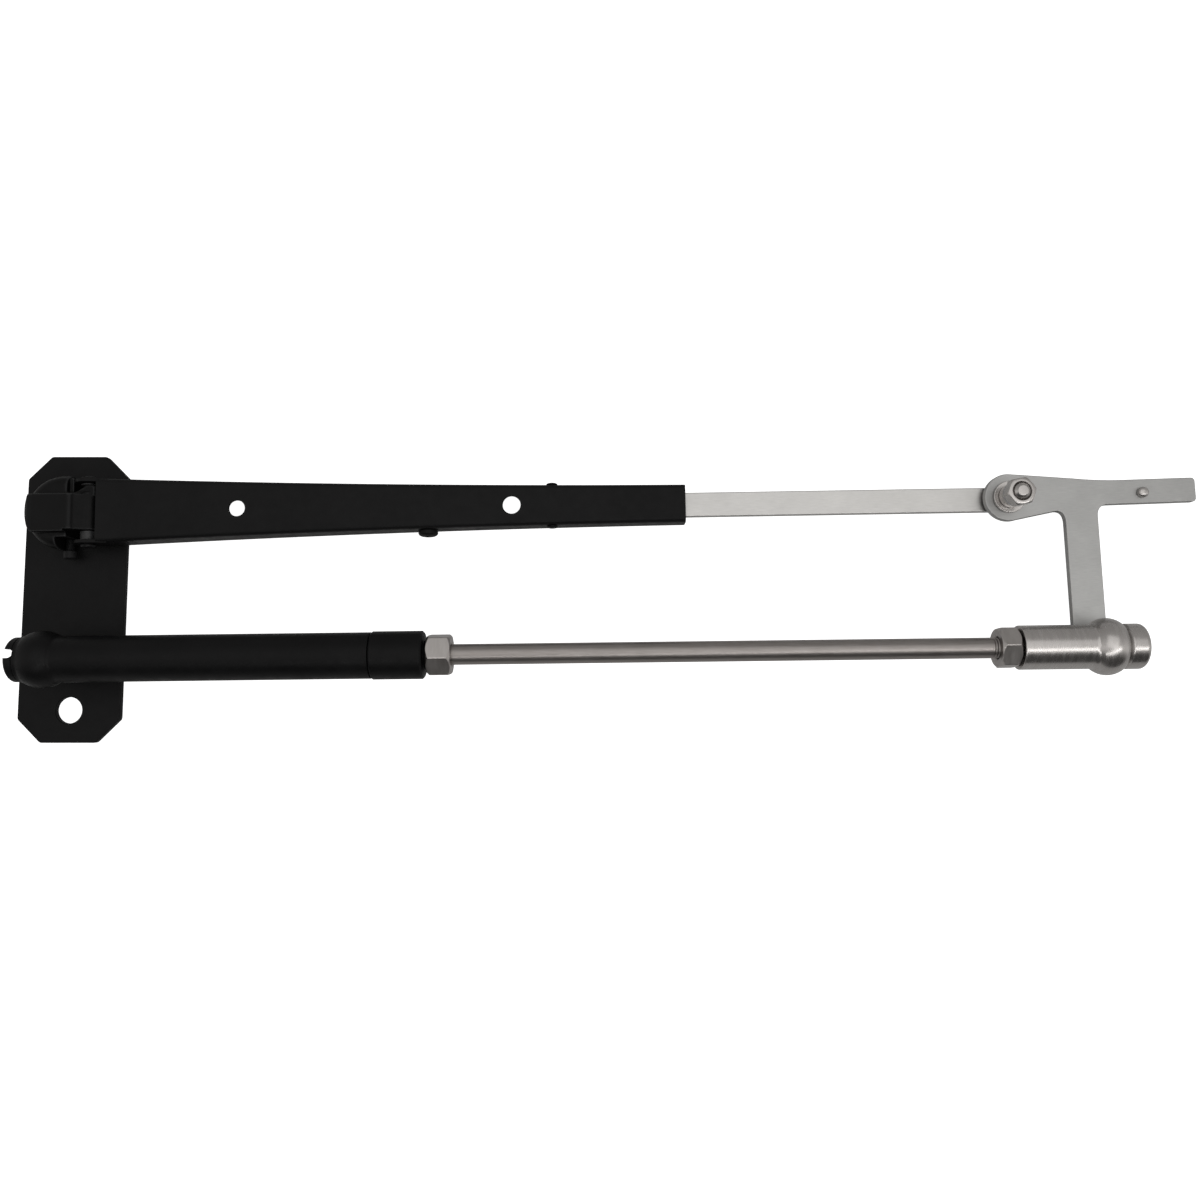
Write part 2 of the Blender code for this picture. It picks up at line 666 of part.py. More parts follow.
def make_anchor_screw(material, parent, offset):
    """The pan head screw that crosses the channel and holds the spring's far end."""
    half = channel_half(ANCHOR_X)
    head = -half - GAP
    end = half - CHANNEL_WALL / 2.0
    profile = ((head - ANCHOR_HEAD, 0.0), (head - ANCHOR_HEAD, 2.4), (head - 1.5, ANCHOR_HEAD_R - 0.3))
    profile += ((head - 0.6, ANCHOR_HEAD_R), (head, ANCHOR_HEAD_R), (head, ANCHOR_R), (end, ANCHOR_R))
    profile += ((end, 0.0),)
    centre = (ANCHOR_X, 0.0, ANCHOR_Z)
    screw = make_object("spring_anchor_screw", lathe(profile, "Y", 20, centre))
    recess = head - ANCHOR_HEAD - OVERCUT
    for wide, tall in ((2.0, 0.45), (0.45, 2.0)):
        low = (ANCHOR_X - wide, recess, ANCHOR_Z - tall)
        cut(screw, box(low, (ANCHOR_X + wide, recess + OVERCUT + 1.2, ANCHOR_Z + tall)))
    return finish(screw, material, parent, offset)


def make_anchor_nut(material, parent, offset):
    """A thin square nut inside the far flange."""
    end = channel_half(ANCHOR_X) - CHANNEL_WALL - GAP
    low = (ANCHOR_X - 3.4, end - 2.0, ANCHOR_Z - 3.4)
    nut = make_object("anchor_nut", box(low, (ANCHOR_X + 3.4, end, ANCHOR_Z + 3.4)))
    cut(nut, flange_cutter(ANCHOR_R + GAP, ANCHOR_X, ANCHOR_Z))
    return finish(nut, material, parent, offset)


def make_cross_rivet(material, parent, offset):
    head = channel_half(RIVET_X) + GAP
    cap = head + RIVET_HEAD
    low_half = [(-cap, 0.0), (-cap, RIVET_HEAD_R - 1.0), (-head - 0.3, RIVET_HEAD_R)]
    low_half += [(-head, RIVET_HEAD_R), (-head, RIVET_R)]
    profile = low_half + [(-along, radius) for along, radius in reversed(low_half)]
    centre = (RIVET_X, 0.0, RIVET_Z)
    rivet = make_object("cross_rivet", lathe(profile, "Y", SMALL_SEGMENTS, centre))
    return finish(rivet, material, parent, offset)


# ---------------------------------------------------------------- spring and yoke
def yoke_half_path():
    """The centre line of one leg: the hook round the head's pin, then the run to the bend."""
    centre = (HOOK_PIN_X, HOOK_PIN_Z + 0.3)
    path = [(x, YOKE_HEAD_Y, z) for x, z in arc(centre, YOKE_HOOK_R, 125.0, 270.0, 9)]
    path += [(13.0, YOKE_HEAD_Y, path[-1][2] + 0.1), (20.0, 9.0, 5.2), (34.0, 7.4, 7.0)]
    path += [(50.0, 6.3, 8.5), (YOKE_BEND_X - 8.0, YOKE_LEG_Y, ANCHOR_Z)]
    return path


def make_spring_yoke(material, parent, offset):
    near = yoke_half_path()
    bend = arc((YOKE_BEND_X, 0.0), YOKE_LEG_Y, 90.0, -90.0, 10)
    middle = [(x, y, ANCHOR_Z) for x, y in bend]
    far = [(x, -y, z) for x, y, z in reversed(near)]
    yoke = make_object("spring_yoke", sweep(near + middle + far, YOKE_WIRE_R))
    return finish(yoke, material, parent, offset)


def make_tension_spring(material, parent, offset):
    """Coils along the arm, with a long loop at each end standing in the XZ plane."""
    crown = YOKE_BEND_X + YOKE_LEG_Y
    near_loop = hook_loop(crown, SPRING_START_X, SPRING_R, 0.0)
    coils = coil(SPRING_START_X, SPRING_END_X, SPRING_R, SPRING_TURNS, 0.0)
    turns = [(x, -z, y) for x, y, z in coils]
    far_loop = hook_loop(ANCHOR_X, SPRING_END_X, SPRING_R, ANCHOR_SLACK)
    path = near_loop + turns + far_loop[::-1]
    path = [(x, y, z + ANCHOR_Z) for x, y, z in path]
    spring = make_object("tension_spring", sweep(path, SPRING_WIRE_R, 4))
    return finish(spring, material, parent, offset)


def hook_loop(held_x, coil_x, radius, slack):
    """A hook round a bar at held_x, from its open end to the first coil at the given radius.

    Slack moves the loop's round end away from the bar, as room for the spring's own travel.
    """
    away = 1.0 if held_x > coil_x else -1.0
    bend = arc((0.0, 0.0), HOOK_LOOP_R, -130.0, 90.0, 8)
    path = [(held_x + away * (slack + x), 0.0, z) for x, z in bend]
    path.append((0.5 * (held_x + coil_x), 0.0, radius))
    return path


# ---------------------------------------------------------------- extension bar and clamp
def make_clamp_block(material, parent, offset):
    """The sleeve riveted into the channel's end, which the bar slides through."""
    sections = []
    for x in (CLAMP_START_X, CLAMP_END_X):
        half = channel_half(CLAMP_END_X) - CHANNEL_WALL - CLAMP_SIDE_GAP
        top = between(CHANNEL_TOP_Z, x) - CHANNEL_WALL - GAP
        floor = CLAMP_FLOOR_Z
        sections.append([(x, -half, floor), (x, half, floor), (x, half, top), (x, -half, top)])
    block = make_object("clamp_block", loft(sections))
    low = (CLAMP_START_X - OVERCUT, -BAR_HALF - GAP, BAR_Z[0] - GAP)
    cut(block, box(low, (CLAMP_END_X + OVERCUT, BAR_HALF + GAP, BAR_Z[1] + GAP)))
    cut(block, flange_cutter(RIVET_R + GAP, RIVET_X, RIVET_Z))
    for x in CLAMP_SCREW_X:
        cut(block, cylinder(CLAMP_SCREW_R + GAP, 0.0, 6.0, centre=(x, 0.0, 0.0), segments=20))
    return finish(block, material, parent, offset)


def make_clamp_screws(material, parent, offset):
    """Two socket set screws that press the bar against the block's roof."""
    low, high = CLAMP_SCREW_Z
    profile = ((low, 0.0), (low, CLAMP_SCREW_R - 0.4), (low + 0.4, CLAMP_SCREW_R))
    profile += ((high - 0.4, CLAMP_SCREW_R), (high, CLAMP_SCREW_R - 0.5), (high, 0.0))
    for number, x in enumerate(CLAMP_SCREW_X, 1):
        screw = make_object(f"clamp_set_screw_{number}", lathe(profile, "Z", 20, (x, 0.0, 0.0)))
        cut(screw, prism(hexagon(2.5), low - OVERCUT, low + 1.8, "Z", (x, 0.0)))
        finish(screw, material, parent, offset)


def make_extension_bar(material, parent, offset):
    outline = [(BAR_START_X, -BAR_HALF), (ARM_LENGTH, -BAR_HALF)]
    outline += arc((ARM_LENGTH, 0.0), BAR_HALF, -80.0, 80.0, 8)
    outline += [(ARM_LENGTH, BAR_HALF), (BAR_START_X, BAR_HALF)]
    bar = make_object("extension_bar", prism(outline, *BAR_Z))
    cut(bar, cylinder(BOLT_R + GAP, 0.0, 20.0, centre=(ARM_LENGTH, 0.0, 0.0), segments=24))
    return finish(bar, material, parent, offset)


# ---------------------------------------------------------------- tip pivot
def make_pivot_bolt(material, parent):
    low, high = BOLT_HEAD_Z
    profile = ((low, 0.0), (low, BOLT_HEAD_R - 1.6), (low + 1.2, BOLT_HEAD_R - 0.2))
    profile += ((high, BOLT_HEAD_R), (high, BOLT_R), (BOLT_END_Z - 0.7, BOLT_R))
    profile += ((BOLT_END_Z, BOLT_R - 0.9), (BOLT_END_Z, 0.0))
    return finish(make_object("pivot_bolt", lathe(profile, segments=24)), material, parent)


def make_pivot_washer(name, radius, levels, material, parent):
    ring = washer(BOLT_R + GAP, radius, *levels, segments=24)
    return finish(make_object(name, ring), material, parent)


def make_split_washer(material, parent):
    ring = make_object("pivot_lock_washer", washer(BOLT_R + GAP, LOCK_WASHER_R, *LOCK_WASHER_Z, segments=24))
    cut(ring, box((-0.4, -8.0, 15.0), (0.4, -1.0, 25.0)))
    return finish(ring, material, parent)


def make_tip_nut(material, parent):
    nut = hex_nut("pivot_nut", TIP_NUT_AF, *TIP_NUT_Z, BOLT_R + GAP, "Z", radians(10.0), chamfer=0.7)
    return finish(nut, material, parent)


# ---------------------------------------------------------------- T bracket
def bracket_outline():
    """The eye, the long strip that the blade clips on, and the leg down to the ball stud."""
    eye_start = degrees(atan2(EYE_TOP[1], EYE_TOP[0]))
    eye_end = 360.0 + degrees(atan2(EYE_FOOT[1], EYE_FOOT[0]))
    outline = arc((0.0, 0.0), EYE_R, eye_start, eye_end, 16)
    left_corner = (LEG_X[0], FOOT_LINE_END[1] + 0.8)
    outline += fillet(FOOT_LINE_END, left_corner, (LEG_X[0], FILLET_LEFT_Y), 5)
    foot_r = (LEG_X[1] - LEG_X[0]) / 2.0
    outline += arc((LEG_X[0] + foot_r, BRACKET_BALL[1]), foot_r, 180.0, 360.0, 12)
    right_start = (LEG_X[1], STRIP_Y[0] - FILLET_R)
    right_end = (LEG_X[1] + FILLET_R, STRIP_Y[0])
    outline += fillet(right_start, (LEG_X[1], STRIP_Y[0]), right_end, 5)
    corner_x = STRIP_END_X - STRIP_CORNER_R
    outline += arc((corner_x, STRIP_Y[0] + STRIP_CORNER_R), STRIP_CORNER_R, -90.0, 0.0, 3)
    outline += arc((corner_x, STRIP_Y[1] - STRIP_CORNER_R), STRIP_CORNER_R, 0.0, 90.0, 3)
    outline += [(STRIP_TAPER_X, STRIP_Y[1])]
    return outline


def make_t_bracket(material, parent):
    bracket = make_object("t_bracket", prism(bracket_outline(), *BRACKET_Z))
    cut(bracket, cylinder(BOLT_R + GAP, 0.0, 20.0, segments=24))
    cut(bracket, cylinder(2.9, 0.0, 20.0, centre=(*BRACKET_BALL, 0.0), segments=24))
    cut(bracket, cylinder(1.5, 0.0, 20.0, centre=(NIB_X, 0.0, 0.0), segments=12))
    return finish(bracket, material, parent)


def make_blade_nib(material, parent):
    """The pressed pin that the blade's clip snaps over."""
    top = BRACKET_Z[1] + GAP
    profile = ((BRACKET_Z[0] + 0.2, 0.0), (BRACKET_Z[0] + 0.2, 1.2), (top, 1.2), (top, NIB_R))
    profile += ((top + NIB_HEIGHT - 1.0, NIB_R), (top + NIB_HEIGHT, 1.0), (top + NIB_HEIGHT, 0.0))
    nib = make_object("blade_nib", lathe(profile, "Z", SMALL_SEGMENTS, (NIB_X, 0.0, 0.0)))
    return finish(nib, material, parent)


def make_tip_ball_stud(material, parent):
    """Riveted through the bracket's leg: a back head, a collar, a neck and the ball."""
    back = BRACKET_Z[0] - GAP - BALL_HEIGHT
    front = BRACKET_Z[1] + GAP - BALL_HEIGHT
    head_r = TIP_STUD_HEAD_R
    profile = [(back - 1.6, 0.0), (back - 1.6, head_r - 1.8), (back - 0.6, head_r - 0.2), (back, head_r)]
    profile += [(back, TIP_STUD_R), (front, TIP_STUD_R), (front, TIP_SHOULDER_R)]
    profile += [(front + 0.6, TIP_SHOULDER_R), (front + 1.4, TIP_NECK_R)]
    profile += ball_profile(TIP_BALL_R, TIP_NECK_R)
    stud = make_object("tip_ball_stud", lathe(profile, segments=20))
    return finish(stud, material, parent, (*BRACKET_BALL, BALL_HEIGHT))


# ---------------------------------------------------------------- idler arm
def bulged_profile(radius, start, end, centre, bulge, curve):
    """A turned tube outline that swells to a bulge radius, drawn with a curve of its own radius."""
    middle = bulge - curve
    reach = sqrt(curve**2 - (radius - middle) ** 2)
    edge = degrees(atan2(radius - middle, reach))
    swell = [(centre + x, r) for x, r in arc((0.0, middle), curve, 180.0 - edge, edge, 8)]
    swell = [point for point in swell if point[0] < end - 0.1]
    return [(start, 0.0), (start, radius)] + swell


def make_idler_tube(material, parent):
    profile = bulged_profile(TUBE_R, TUBE_START_X, TUBE_END_X, 0.0, BULGE_R, BULGE_R)
    profile += [(TUBE_END_X, TUBE_R), (TUBE_END_X, 0.0)]
    tube = make_object("idler_tube", lathe(profile, "X"))
    bore = cylinder(TUBE_BORE_R, TUBE_START_X - OVERCUT, TUBE_END_X + OVERCUT, "X")
    cut(tube, bore)
    cut(tube, box((-20.0, -20.0, -20.0), (20.0, 20.0, BULGE_FLAT_Z)))
    reach, half = NECK_SLOT
    slot = arc((reach - half, 0.0), half, -90.0, 90.0, 8)
    slot += arc((half - reach, 0.0), half, 90.0, 270.0, 8)
    cut(tube, prism(slot, -20.0, 0.0))
    return finish(tube, material, parent)


def make_idler_ball_liner(material, parent):
    """A nylon liner round the ball, open at both poles, that turns with the arm's swing."""
    inner, outer = LINER_R
    outer_edge = degrees(atan2(LINER_HALF, sqrt(outer**2 - LINER_HALF**2)))
    inner_edge = degrees(atan2(LINER_HALF, sqrt(inner**2 - LINER_HALF**2)))
    outside = [(z, r) for r, z in arc((0.0, 0.0), outer, -outer_edge, outer_edge, 4)]
    inside = [(z, r) for r, z in arc((0.0, 0.0), inner, inner_edge, -inner_edge, 4)]
    liner = make_object("idler_ball_liner", lathe(outside + inside, "Z", 20, closed=True))
    return finish(liner, material, parent)


def make_idler_seats(material, parent):
    """The two cups that keep the liner in the tube, one on each side of the ball."""
    inner = washer(SEAT_INNER_R, SEAT_R, SEAT_FACE, SEAT_FACE + SEAT_THICK, "X")
    finish(make_object("idler_inner_seat", inner), material, parent)
    outer = washer(SEAT_INNER_R, SEAT_R, -SEAT_FACE - SEAT_THIN, -SEAT_FACE, "X")
    finish(make_object("idler_outer_seat", outer), material, parent)


def make_seat_spring(name, ends, radius, wire, turns, material, parent):
    path = coil(ends[0] + wire, ends[1] - wire, radius - wire, turns, 0.0)
    return finish(make_object(name, sweep(path, wire, 4)), material, parent)


def make_spring_stop(material, parent):
    """The disc that the idler's seat spring pushes against, staked in the tube."""
    stop = washer(2.0, SEAT_R, *SPRING_STOP_X, "X")
    return finish(make_object("idler_spring_stop", stop), material, parent)


def make_idler_end_plug(material, parent):
    """The adjusting plug in the tube's end: a domed head, split by a slot for a wide blade."""
    inner = TUBE_START_X - GAP
    profile = [(PLUG_START_X, 0.0), (PLUG_START_X + 0.3, 4.0), (PLUG_START_X + PLUG_DOME, PLUG_R - 1.0)]
    profile += [(PLUG_START_X + PLUG_DOME + 1.4, PLUG_R), (inner - 0.4, PLUG_R), (inner, PLUG_R - 0.4)]
    profile += [(inner, SPIGOT_R), (inner + 0.9, SPIGOT_R), (inner + 0.9, 0.0)]
    plug = make_object("idler_end_plug", lathe(profile, "X"))
    start = PLUG_START_X - OVERCUT
    end = PLUG_SLOT_END_X - PLUG_SLOT_HALF
    slot = [(start, PLUG_SLOT_Y - PLUG_SLOT_HALF)]
    slot += arc((end, PLUG_SLOT_Y), PLUG_SLOT_HALF, -90.0, 90.0, 6)
    slot += [(start, PLUG_SLOT_Y + PLUG_SLOT_HALF)]
    cut(plug, prism(slot, -12.0, 12.0))
    return finish(plug, material, parent)


def make_tube_collar(material, parent):
    """The compression fitting's body: a spigot in the tube, the collar, and a nipple for the nut."""
    inner = ROD_R + GAP
    profile = [(SPIGOT_START_X, inner), (SPIGOT_START_X, SPIGOT_R), (COLLAR_START_X, SPIGOT_R)]
    profile += [(COLLAR_START_X, TUBE_COLLAR_R - 0.5), (COLLAR_START_X + 0.5, TUBE_COLLAR_R)]
    profile += [(COLLAR_END_X - 0.6, TUBE_COLLAR_R), (COLLAR_END_X, TUBE_COLLAR_R - 0.6)]
    profile += [(COLLAR_END_X, NIPPLE_R), (NIPPLE_END_X, NIPPLE_R), (NIPPLE_END_X, inner)]
    collar = make_object("tube_collar", lathe(profile, "X", closed=True))
    return finish(collar, material, parent)


def make_ferrule(material, parent):
    start, end = FERRULE_X
    profile = ((start, ROD_R + GAP), (start, NIPPLE_R - 0.6), (end, ROD_R + 0.8), (end, ROD_R + GAP))
    return finish(make_object("ferrule", lathe(profile, "X", 24, closed=True)), material, parent)


def make_compression_nut(material, parent):
    start, end = COMPRESSION_NUT_X
    turn = COMPRESSION_NUT_TURN
    nut = hex_nut("compression_nut", NUT_AF, start, end, ROD_R + GAP, "X", turn, chamfer=NUT_CHAMFER)
    cut(nut, cylinder(NIPPLE_R + GAP, start - OVERCUT, end - 1.0 + GAP / 2.0, "X", segments=24))
    return finish(nut, material, parent)


def make_adjusting_rod(material, parent):
    profile = ((ROD_START_X, 0.0), (ROD_START_X, ROD_R - 0.5), (ROD_START_X + 0.5, ROD_R))
    profile += ((ROD_END_X - 0.5, ROD_R), (ROD_END_X, ROD_R - 0.5), (ROD_END_X, 0.0))
    return finish(make_object("adjusting_rod", lathe(profile, "X", 24)), material, parent)


def make_rod_lock_nut(material, parent):
    start, end = LOCK_NUT_X
    turn = LOCK_NUT_TURN
    nut = hex_nut("rod_lock_nut", NUT_AF, start, end, ROD_R + GAP, "X", turn, chamfer=NUT_CHAMFER)
    return finish(nut, material, parent)


def make_tip_socket(material, parent):
    """The stainless socket screwed on the rod, with a keyhole at the back for the ball stud."""
    bulge, curve = SOCKET_BULGE
    profile = bulged_profile(SOCKET_R, SOCKET_START_X, SOCKET_END_X, idler_span, bulge, curve)
    end_r = bulge - curve + sqrt(curve**2 - (SOCKET_END_X - idler_span) ** 2)
    profile += [(SOCKET_END_X, end_r), (SOCKET_END_X, 0.0)]
    socket = make_object("tip_socket", lathe(profile, "X"))
    cut(socket, cylinder(SOCKET_BORE_R, SOCKET_BORE_X, SOCKET_END_X + OVERCUT, "X"))
    cut(socket, cylinder(ROD_R + GAP, SOCKET_START_X - OVERCUT, SOCKET_BORE_X + OVERCUT, "X", segments=24))
    cut(socket, box((idler_span - 20.0, -20.0, -20.0), (idler_span + 20.0, 20.0, SOCKET_FLAT_Z)))
    near, far = (idler_span + offset for offset in KEYHOLE_CENTRES)
    wide = arc((far, 0.0), KEYHOLE_R, -90.0, 90.0, 8) + arc((near, 0.0), KEYHOLE_R, 90.0, 270.0, 8)
    cut(socket, prism(wide, -20.0, 0.0))
    narrow = [(near, -KEYHOLE_HALF)] + arc((idler_span, 0.0), KEYHOLE_HALF, -90.0, 90.0, 8)
    cut(socket, prism(narrow + [(near, KEYHOLE_HALF)], -20.0, 0.0))
    return finish(socket, material, parent)


def make_tip_seats(material, parent):
    """A ring against the end plug and a spring cup on the rod's side of the ball."""
    outer_r = SOCKET_BORE_R - GAP
    far = CAP_SPIGOT_X - GAP
    ring = washer(2.9, outer_r, far - 1.2, far, "X", segments=24)
    finish(make_object("tip_outer_seat", ring), material, parent)
    cup = washer(2.0, outer_r, tip_cup_end - TIP_CUP_THICK, tip_cup_end, "X", segments=24)
    finish(make_object("tip_inner_seat", cup), material, parent)


def make_tip_end_plug(material, parent):
    start = SOCKET_END_X + GAP
    profile = [(CAP_SPIGOT_X, 0.0), (CAP_SPIGOT_X, SOCKET_BORE_R - GAP), (start, SOCKET_BORE_R - GAP)]
    profile += [(start, CAP_R - 0.5), (start + 0.5, CAP_R)]
    corner = arc((CAP_END_X - CAP_CORNER, CAP_R - CAP_CORNER), CAP_CORNER, 90.0, 0.0, 4)
    profile += corner + [(CAP_END_X, 0.0)]
    plug = make_object("tip_end_plug", lathe(profile, "X"))
    slot_low = (CAP_END_X - 2.0, -10.0, -0.8)
    cut(plug, box(slot_low, (CAP_END_X + OVERCUT, 10.0, 0.8)))
    return finish(plug, material, parent)


# ---------------------------------------------------------------- assembly
def build():
    clear_scene()
    black = make_material("black_coat", (0.014, 0.014, 0.015), 0.5, 0.0)
    satin = make_material("satin_stainless", (0.42, 0.42, 0.41), 0.42, 1.0)
    bright = make_material("bright_stainless", (0.45, 0.43, 0.41), 0.22, 1.0)
    steel = make_material("spring_steel", (0.3, 0.3, 0.31), 0.35, 1.0)
    brass = make_material("brass", (0.6, 0.44, 0.18), 0.35, 1.0)
    nylon = make_material("black_nylon", (0.02, 0.02, 0.02), 0.6, 0.0)

    make_mount_plate(black)
    make_idler_spacer(nylon)
    make_idler_ball_stud(steel)

    head = make_empty("head_swing", drive_axis, ARM_TILT)
    make_drive_head(black, head)
    make_knurled_insert(brass, head)
    make_head_set_screw(black, head)
    make_spring_hook_pin(steel, head)

    hinge_point = (HINGE_X, 0.0, HINGE_Z)
    hinge = make_empty("arm_lift", hinge_point, 0.0, head)
    back = tuple(-value for value in hinge_point)
    make_arm_channel(black, hinge, back)
    make_hinge_pin(black, hinge, back)
    make_hinge_clip(black, hinge, back)
    make_hinge_bushes(nylon, hinge, back)
    make_anchor_screw(black, hinge, back)
    make_anchor_nut(steel, hinge, back)
    make_cross_rivet(black, hinge, back)
    make_clamp_block(satin, hinge, back)
    make_clamp_screws(steel, hinge, back)
    make_spring_yoke(steel, hinge, back)
    make_tension_spring(steel, hinge, back)
    make_extension_bar(satin, hinge, back)

    pivot_point = (ARM_LENGTH, 0.0, 0.0)
    pivot = make_empty("tip_bolt_axis", pivot_point, 0.0, head)
    make_pivot_bolt(bright, pivot)
    make_pivot_washer("pivot_spacer", SPACER_R, SPACER_Z, nylon, pivot)
    make_pivot_washer("pivot_washer", WASHER_R, WASHER_Z, bright, pivot)
    make_pivot_washer("pivot_collar", COLLAR_R, COLLAR_Z, bright, pivot)
    make_split_washer(steel, pivot)
    make_tip_nut(bright, pivot)

    bracket = make_empty("tip_pivot", pivot_point, BRACKET_TILT - ARM_TILT, head)
    make_t_bracket(satin, bracket)
    make_blade_nib(bright, bracket)
    make_tip_ball_stud(steel, bracket)

    idler = make_empty("idler_joint", idler_ball, idler_tilt)
    make_idler_ball_liner(nylon, idler)
    make_idler_tube(black, idler)
    make_idler_end_plug(black, idler)
    make_idler_seats(nylon, idler)
    make_seat_spring("idler_seat_spring", IDLER_SPRING_X, 6.4, 0.7, 5, steel, idler)
    make_spring_stop(steel, idler)
    make_tube_collar(black, idler)
    make_ferrule(brass, idler)
    make_compression_nut(bright, idler)
    make_adjusting_rod(bright, idler)
    make_rod_lock_nut(bright, idler)
    make_tip_socket(bright, idler)
    make_tip_seats(nylon, idler)
    tip_spring = (SOCKET_BORE_X + GAP, tip_cup_end - TIP_CUP_THICK - GAP)
    make_seat_spring("tip_seat_spring", tip_spring, 5.6, 0.6, 3, steel, idler)
    make_tip_end_plug(bright, idler)


build()
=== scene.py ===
"""Looks of the pantograph wiper arm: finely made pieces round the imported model, their materials,
and a plain studio. Shapes are written in millimetres in four local frames, which are read from
the model's joints, and turned into metres in the model's own frame.
"""

import json
from math import atan2, cos, degrees, pi, radians, sin, sqrt

import bmesh
import bpy
from mathutils import Matrix, Vector


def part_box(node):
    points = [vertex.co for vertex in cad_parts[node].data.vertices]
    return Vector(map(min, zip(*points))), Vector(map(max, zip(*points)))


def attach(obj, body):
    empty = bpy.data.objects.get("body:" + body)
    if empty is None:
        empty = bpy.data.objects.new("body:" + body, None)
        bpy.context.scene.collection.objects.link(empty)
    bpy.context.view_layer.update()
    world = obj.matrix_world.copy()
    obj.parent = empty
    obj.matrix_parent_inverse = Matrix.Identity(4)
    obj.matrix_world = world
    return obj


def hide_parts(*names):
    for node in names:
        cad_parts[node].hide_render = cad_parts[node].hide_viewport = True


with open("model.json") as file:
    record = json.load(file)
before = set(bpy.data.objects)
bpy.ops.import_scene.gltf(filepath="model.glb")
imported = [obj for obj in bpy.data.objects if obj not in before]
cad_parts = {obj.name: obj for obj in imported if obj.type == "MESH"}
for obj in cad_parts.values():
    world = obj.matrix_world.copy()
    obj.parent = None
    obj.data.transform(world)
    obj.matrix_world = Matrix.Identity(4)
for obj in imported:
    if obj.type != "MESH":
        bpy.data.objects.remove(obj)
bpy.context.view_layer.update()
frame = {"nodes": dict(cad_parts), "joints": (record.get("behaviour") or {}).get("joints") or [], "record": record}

MM = 0.001
TURN = 96  # segments of a large round piece
FINE = 48  # segments of a small one
SOFT_ANGLE = radians(40.0)
BEVEL_ANGLE = radians(50.0)
GAP = 0.3
BEYOND = 20.0  # how far a cutter reaches past the pieces

# Places and sizes that more than one piece uses, in the frame of the arm that carries them.
HINGE = (9.5, 12.5)  # x and z of the hinge pin
HINGE_HOLE_R = 2.3
ANCHOR = (141.6, 9.0)  # x and z of the spring's anchor screw
ANCHOR_HOLE_R = 2.3
RIVET = (190.6, 10.4)  # x and z of the rivet through channel and clamp block
RIVET_HOLE_R = 1.7
WEB_HOLES = ((68.5, 3.15), (174.9, 3.5))  # x and radius
BOLT_HOLE_R = 3.3
BRACKET_BALL = (28.1, -60.0, 23.6)
NIB_X = 52.3
TUBE_BORE_R = 7.1
SPIGOT_R = 6.75
ROD_HOLE_R = 4.25
NUT_FLATS = 14.3
NUT_CHAMFER = 1.3

joints = {joint["name"]: joint for joint in frame["joints"]}
mounts = {mount["name"]: mount for mount in frame["record"]["mounts"]}


# ---------------------------------------------------------------- local frames
def local_frame(point, direction, level=None):
    """A frame in metres at a joint, its X along a direction in the plate's plane."""
    place = Vector(point)
    if level is not None:
        place.z = level
    turn = atan2(direction[1], direction[0])
    return Matrix.Translation(place) @ Matrix.Rotation(turn, 4, "Z")


PLATE = Matrix.Identity(4)
ARM = local_frame(joints["head_swing"]["pos_m"], joints["bar_slide"]["axis"], 0.0)
BRACKET = local_frame(joints["tip_pivot"]["pos_m"], mounts["strip_end"]["axis"], 0.0)
IDLER = local_frame(joints["idler_swing"]["pos_m"], joints["rod_slide"]["axis"])
ARM_AT_TIP = local_frame(joints["tip_pivot"]["pos_m"], joints["bar_slide"]["axis"], 0.0)


def extent(node, place):
    """Lowest and highest corner of a model node in a local frame, in millimetres."""
    inverse = place.inverted()
    points = [inverse @ vertex.co / MM for vertex in frame["nodes"][node].data.vertices]
    low = Vector([min(point[axis] for point in points) for axis in range(3)])
    high = Vector([max(point[axis] for point in points) for axis in range(3)])
    return low, high


# ---------------------------------------------------------------- materials
def new_material(name):
    material = bpy.data.materials.new(name)
    material.use_nodes = True
    tree = material.node_tree
    return material, tree, tree.nodes["Principled BSDF"]


def add_noise(tree, stretch, scale, detail):
    """Noise in the model's own frame, stretched along its axes."""
    place = tree.nodes.new("ShaderNodeTexCoord")
    mapping = tree.nodes.new("ShaderNodeMapping")
    mapping.inputs["Scale"].default_value = stretch
    noise = tree.nodes.new("ShaderNodeTexNoise")
    noise.inputs["Scale"].default_value = scale
    noise.inputs["Detail"].default_value = detail
    noise.inputs["Roughness"].default_value = 0.6
    tree.links.new(place.outputs["Object"], mapping.inputs["Vector"])
    tree.links.new(mapping.outputs["Vector"], noise.inputs["Vector"])
    return noise.outputs["Fac"]


def add_range(tree, source, low, high, start=0.3, end=0.7):
    """The source, which runs from start to end, spread from low to high."""
    spread = tree.nodes.new("ShaderNodeMapRange")
    spread.inputs["From Min"].default_value = start
    spread.inputs["From Max"].default_value = end
    spread.inputs["To Min"].default_value = low
    spread.inputs["To Max"].default_value = high
    tree.links.new(source, spread.inputs["Value"])
    return spread.outputs["Result"]


def add_mix(tree, share, first, second):
    mix = tree.nodes.new("ShaderNodeMix")
    mix.data_type = "RGBA"
    mix.inputs["A"].default_value = (*first, 1.0)
    if isinstance(second, tuple):
        mix.inputs["B"].default_value = (*second, 1.0)
    else:
        tree.links.new(second, mix.inputs["B"])
    tree.links.new(share, mix.inputs["Factor"])
    return mix.outputs["Result"]


def add_bump(tree, shader, height, strength, distance):
    bump = tree.nodes.new("ShaderNodeBump")
    bump.inputs["Strength"].default_value = strength
    bump.inputs["Distance"].default_value = distance
    tree.links.new(height, bump.inputs["Height"])
    tree.links.new(bump.outputs["Normal"], shader.inputs["Normal"])


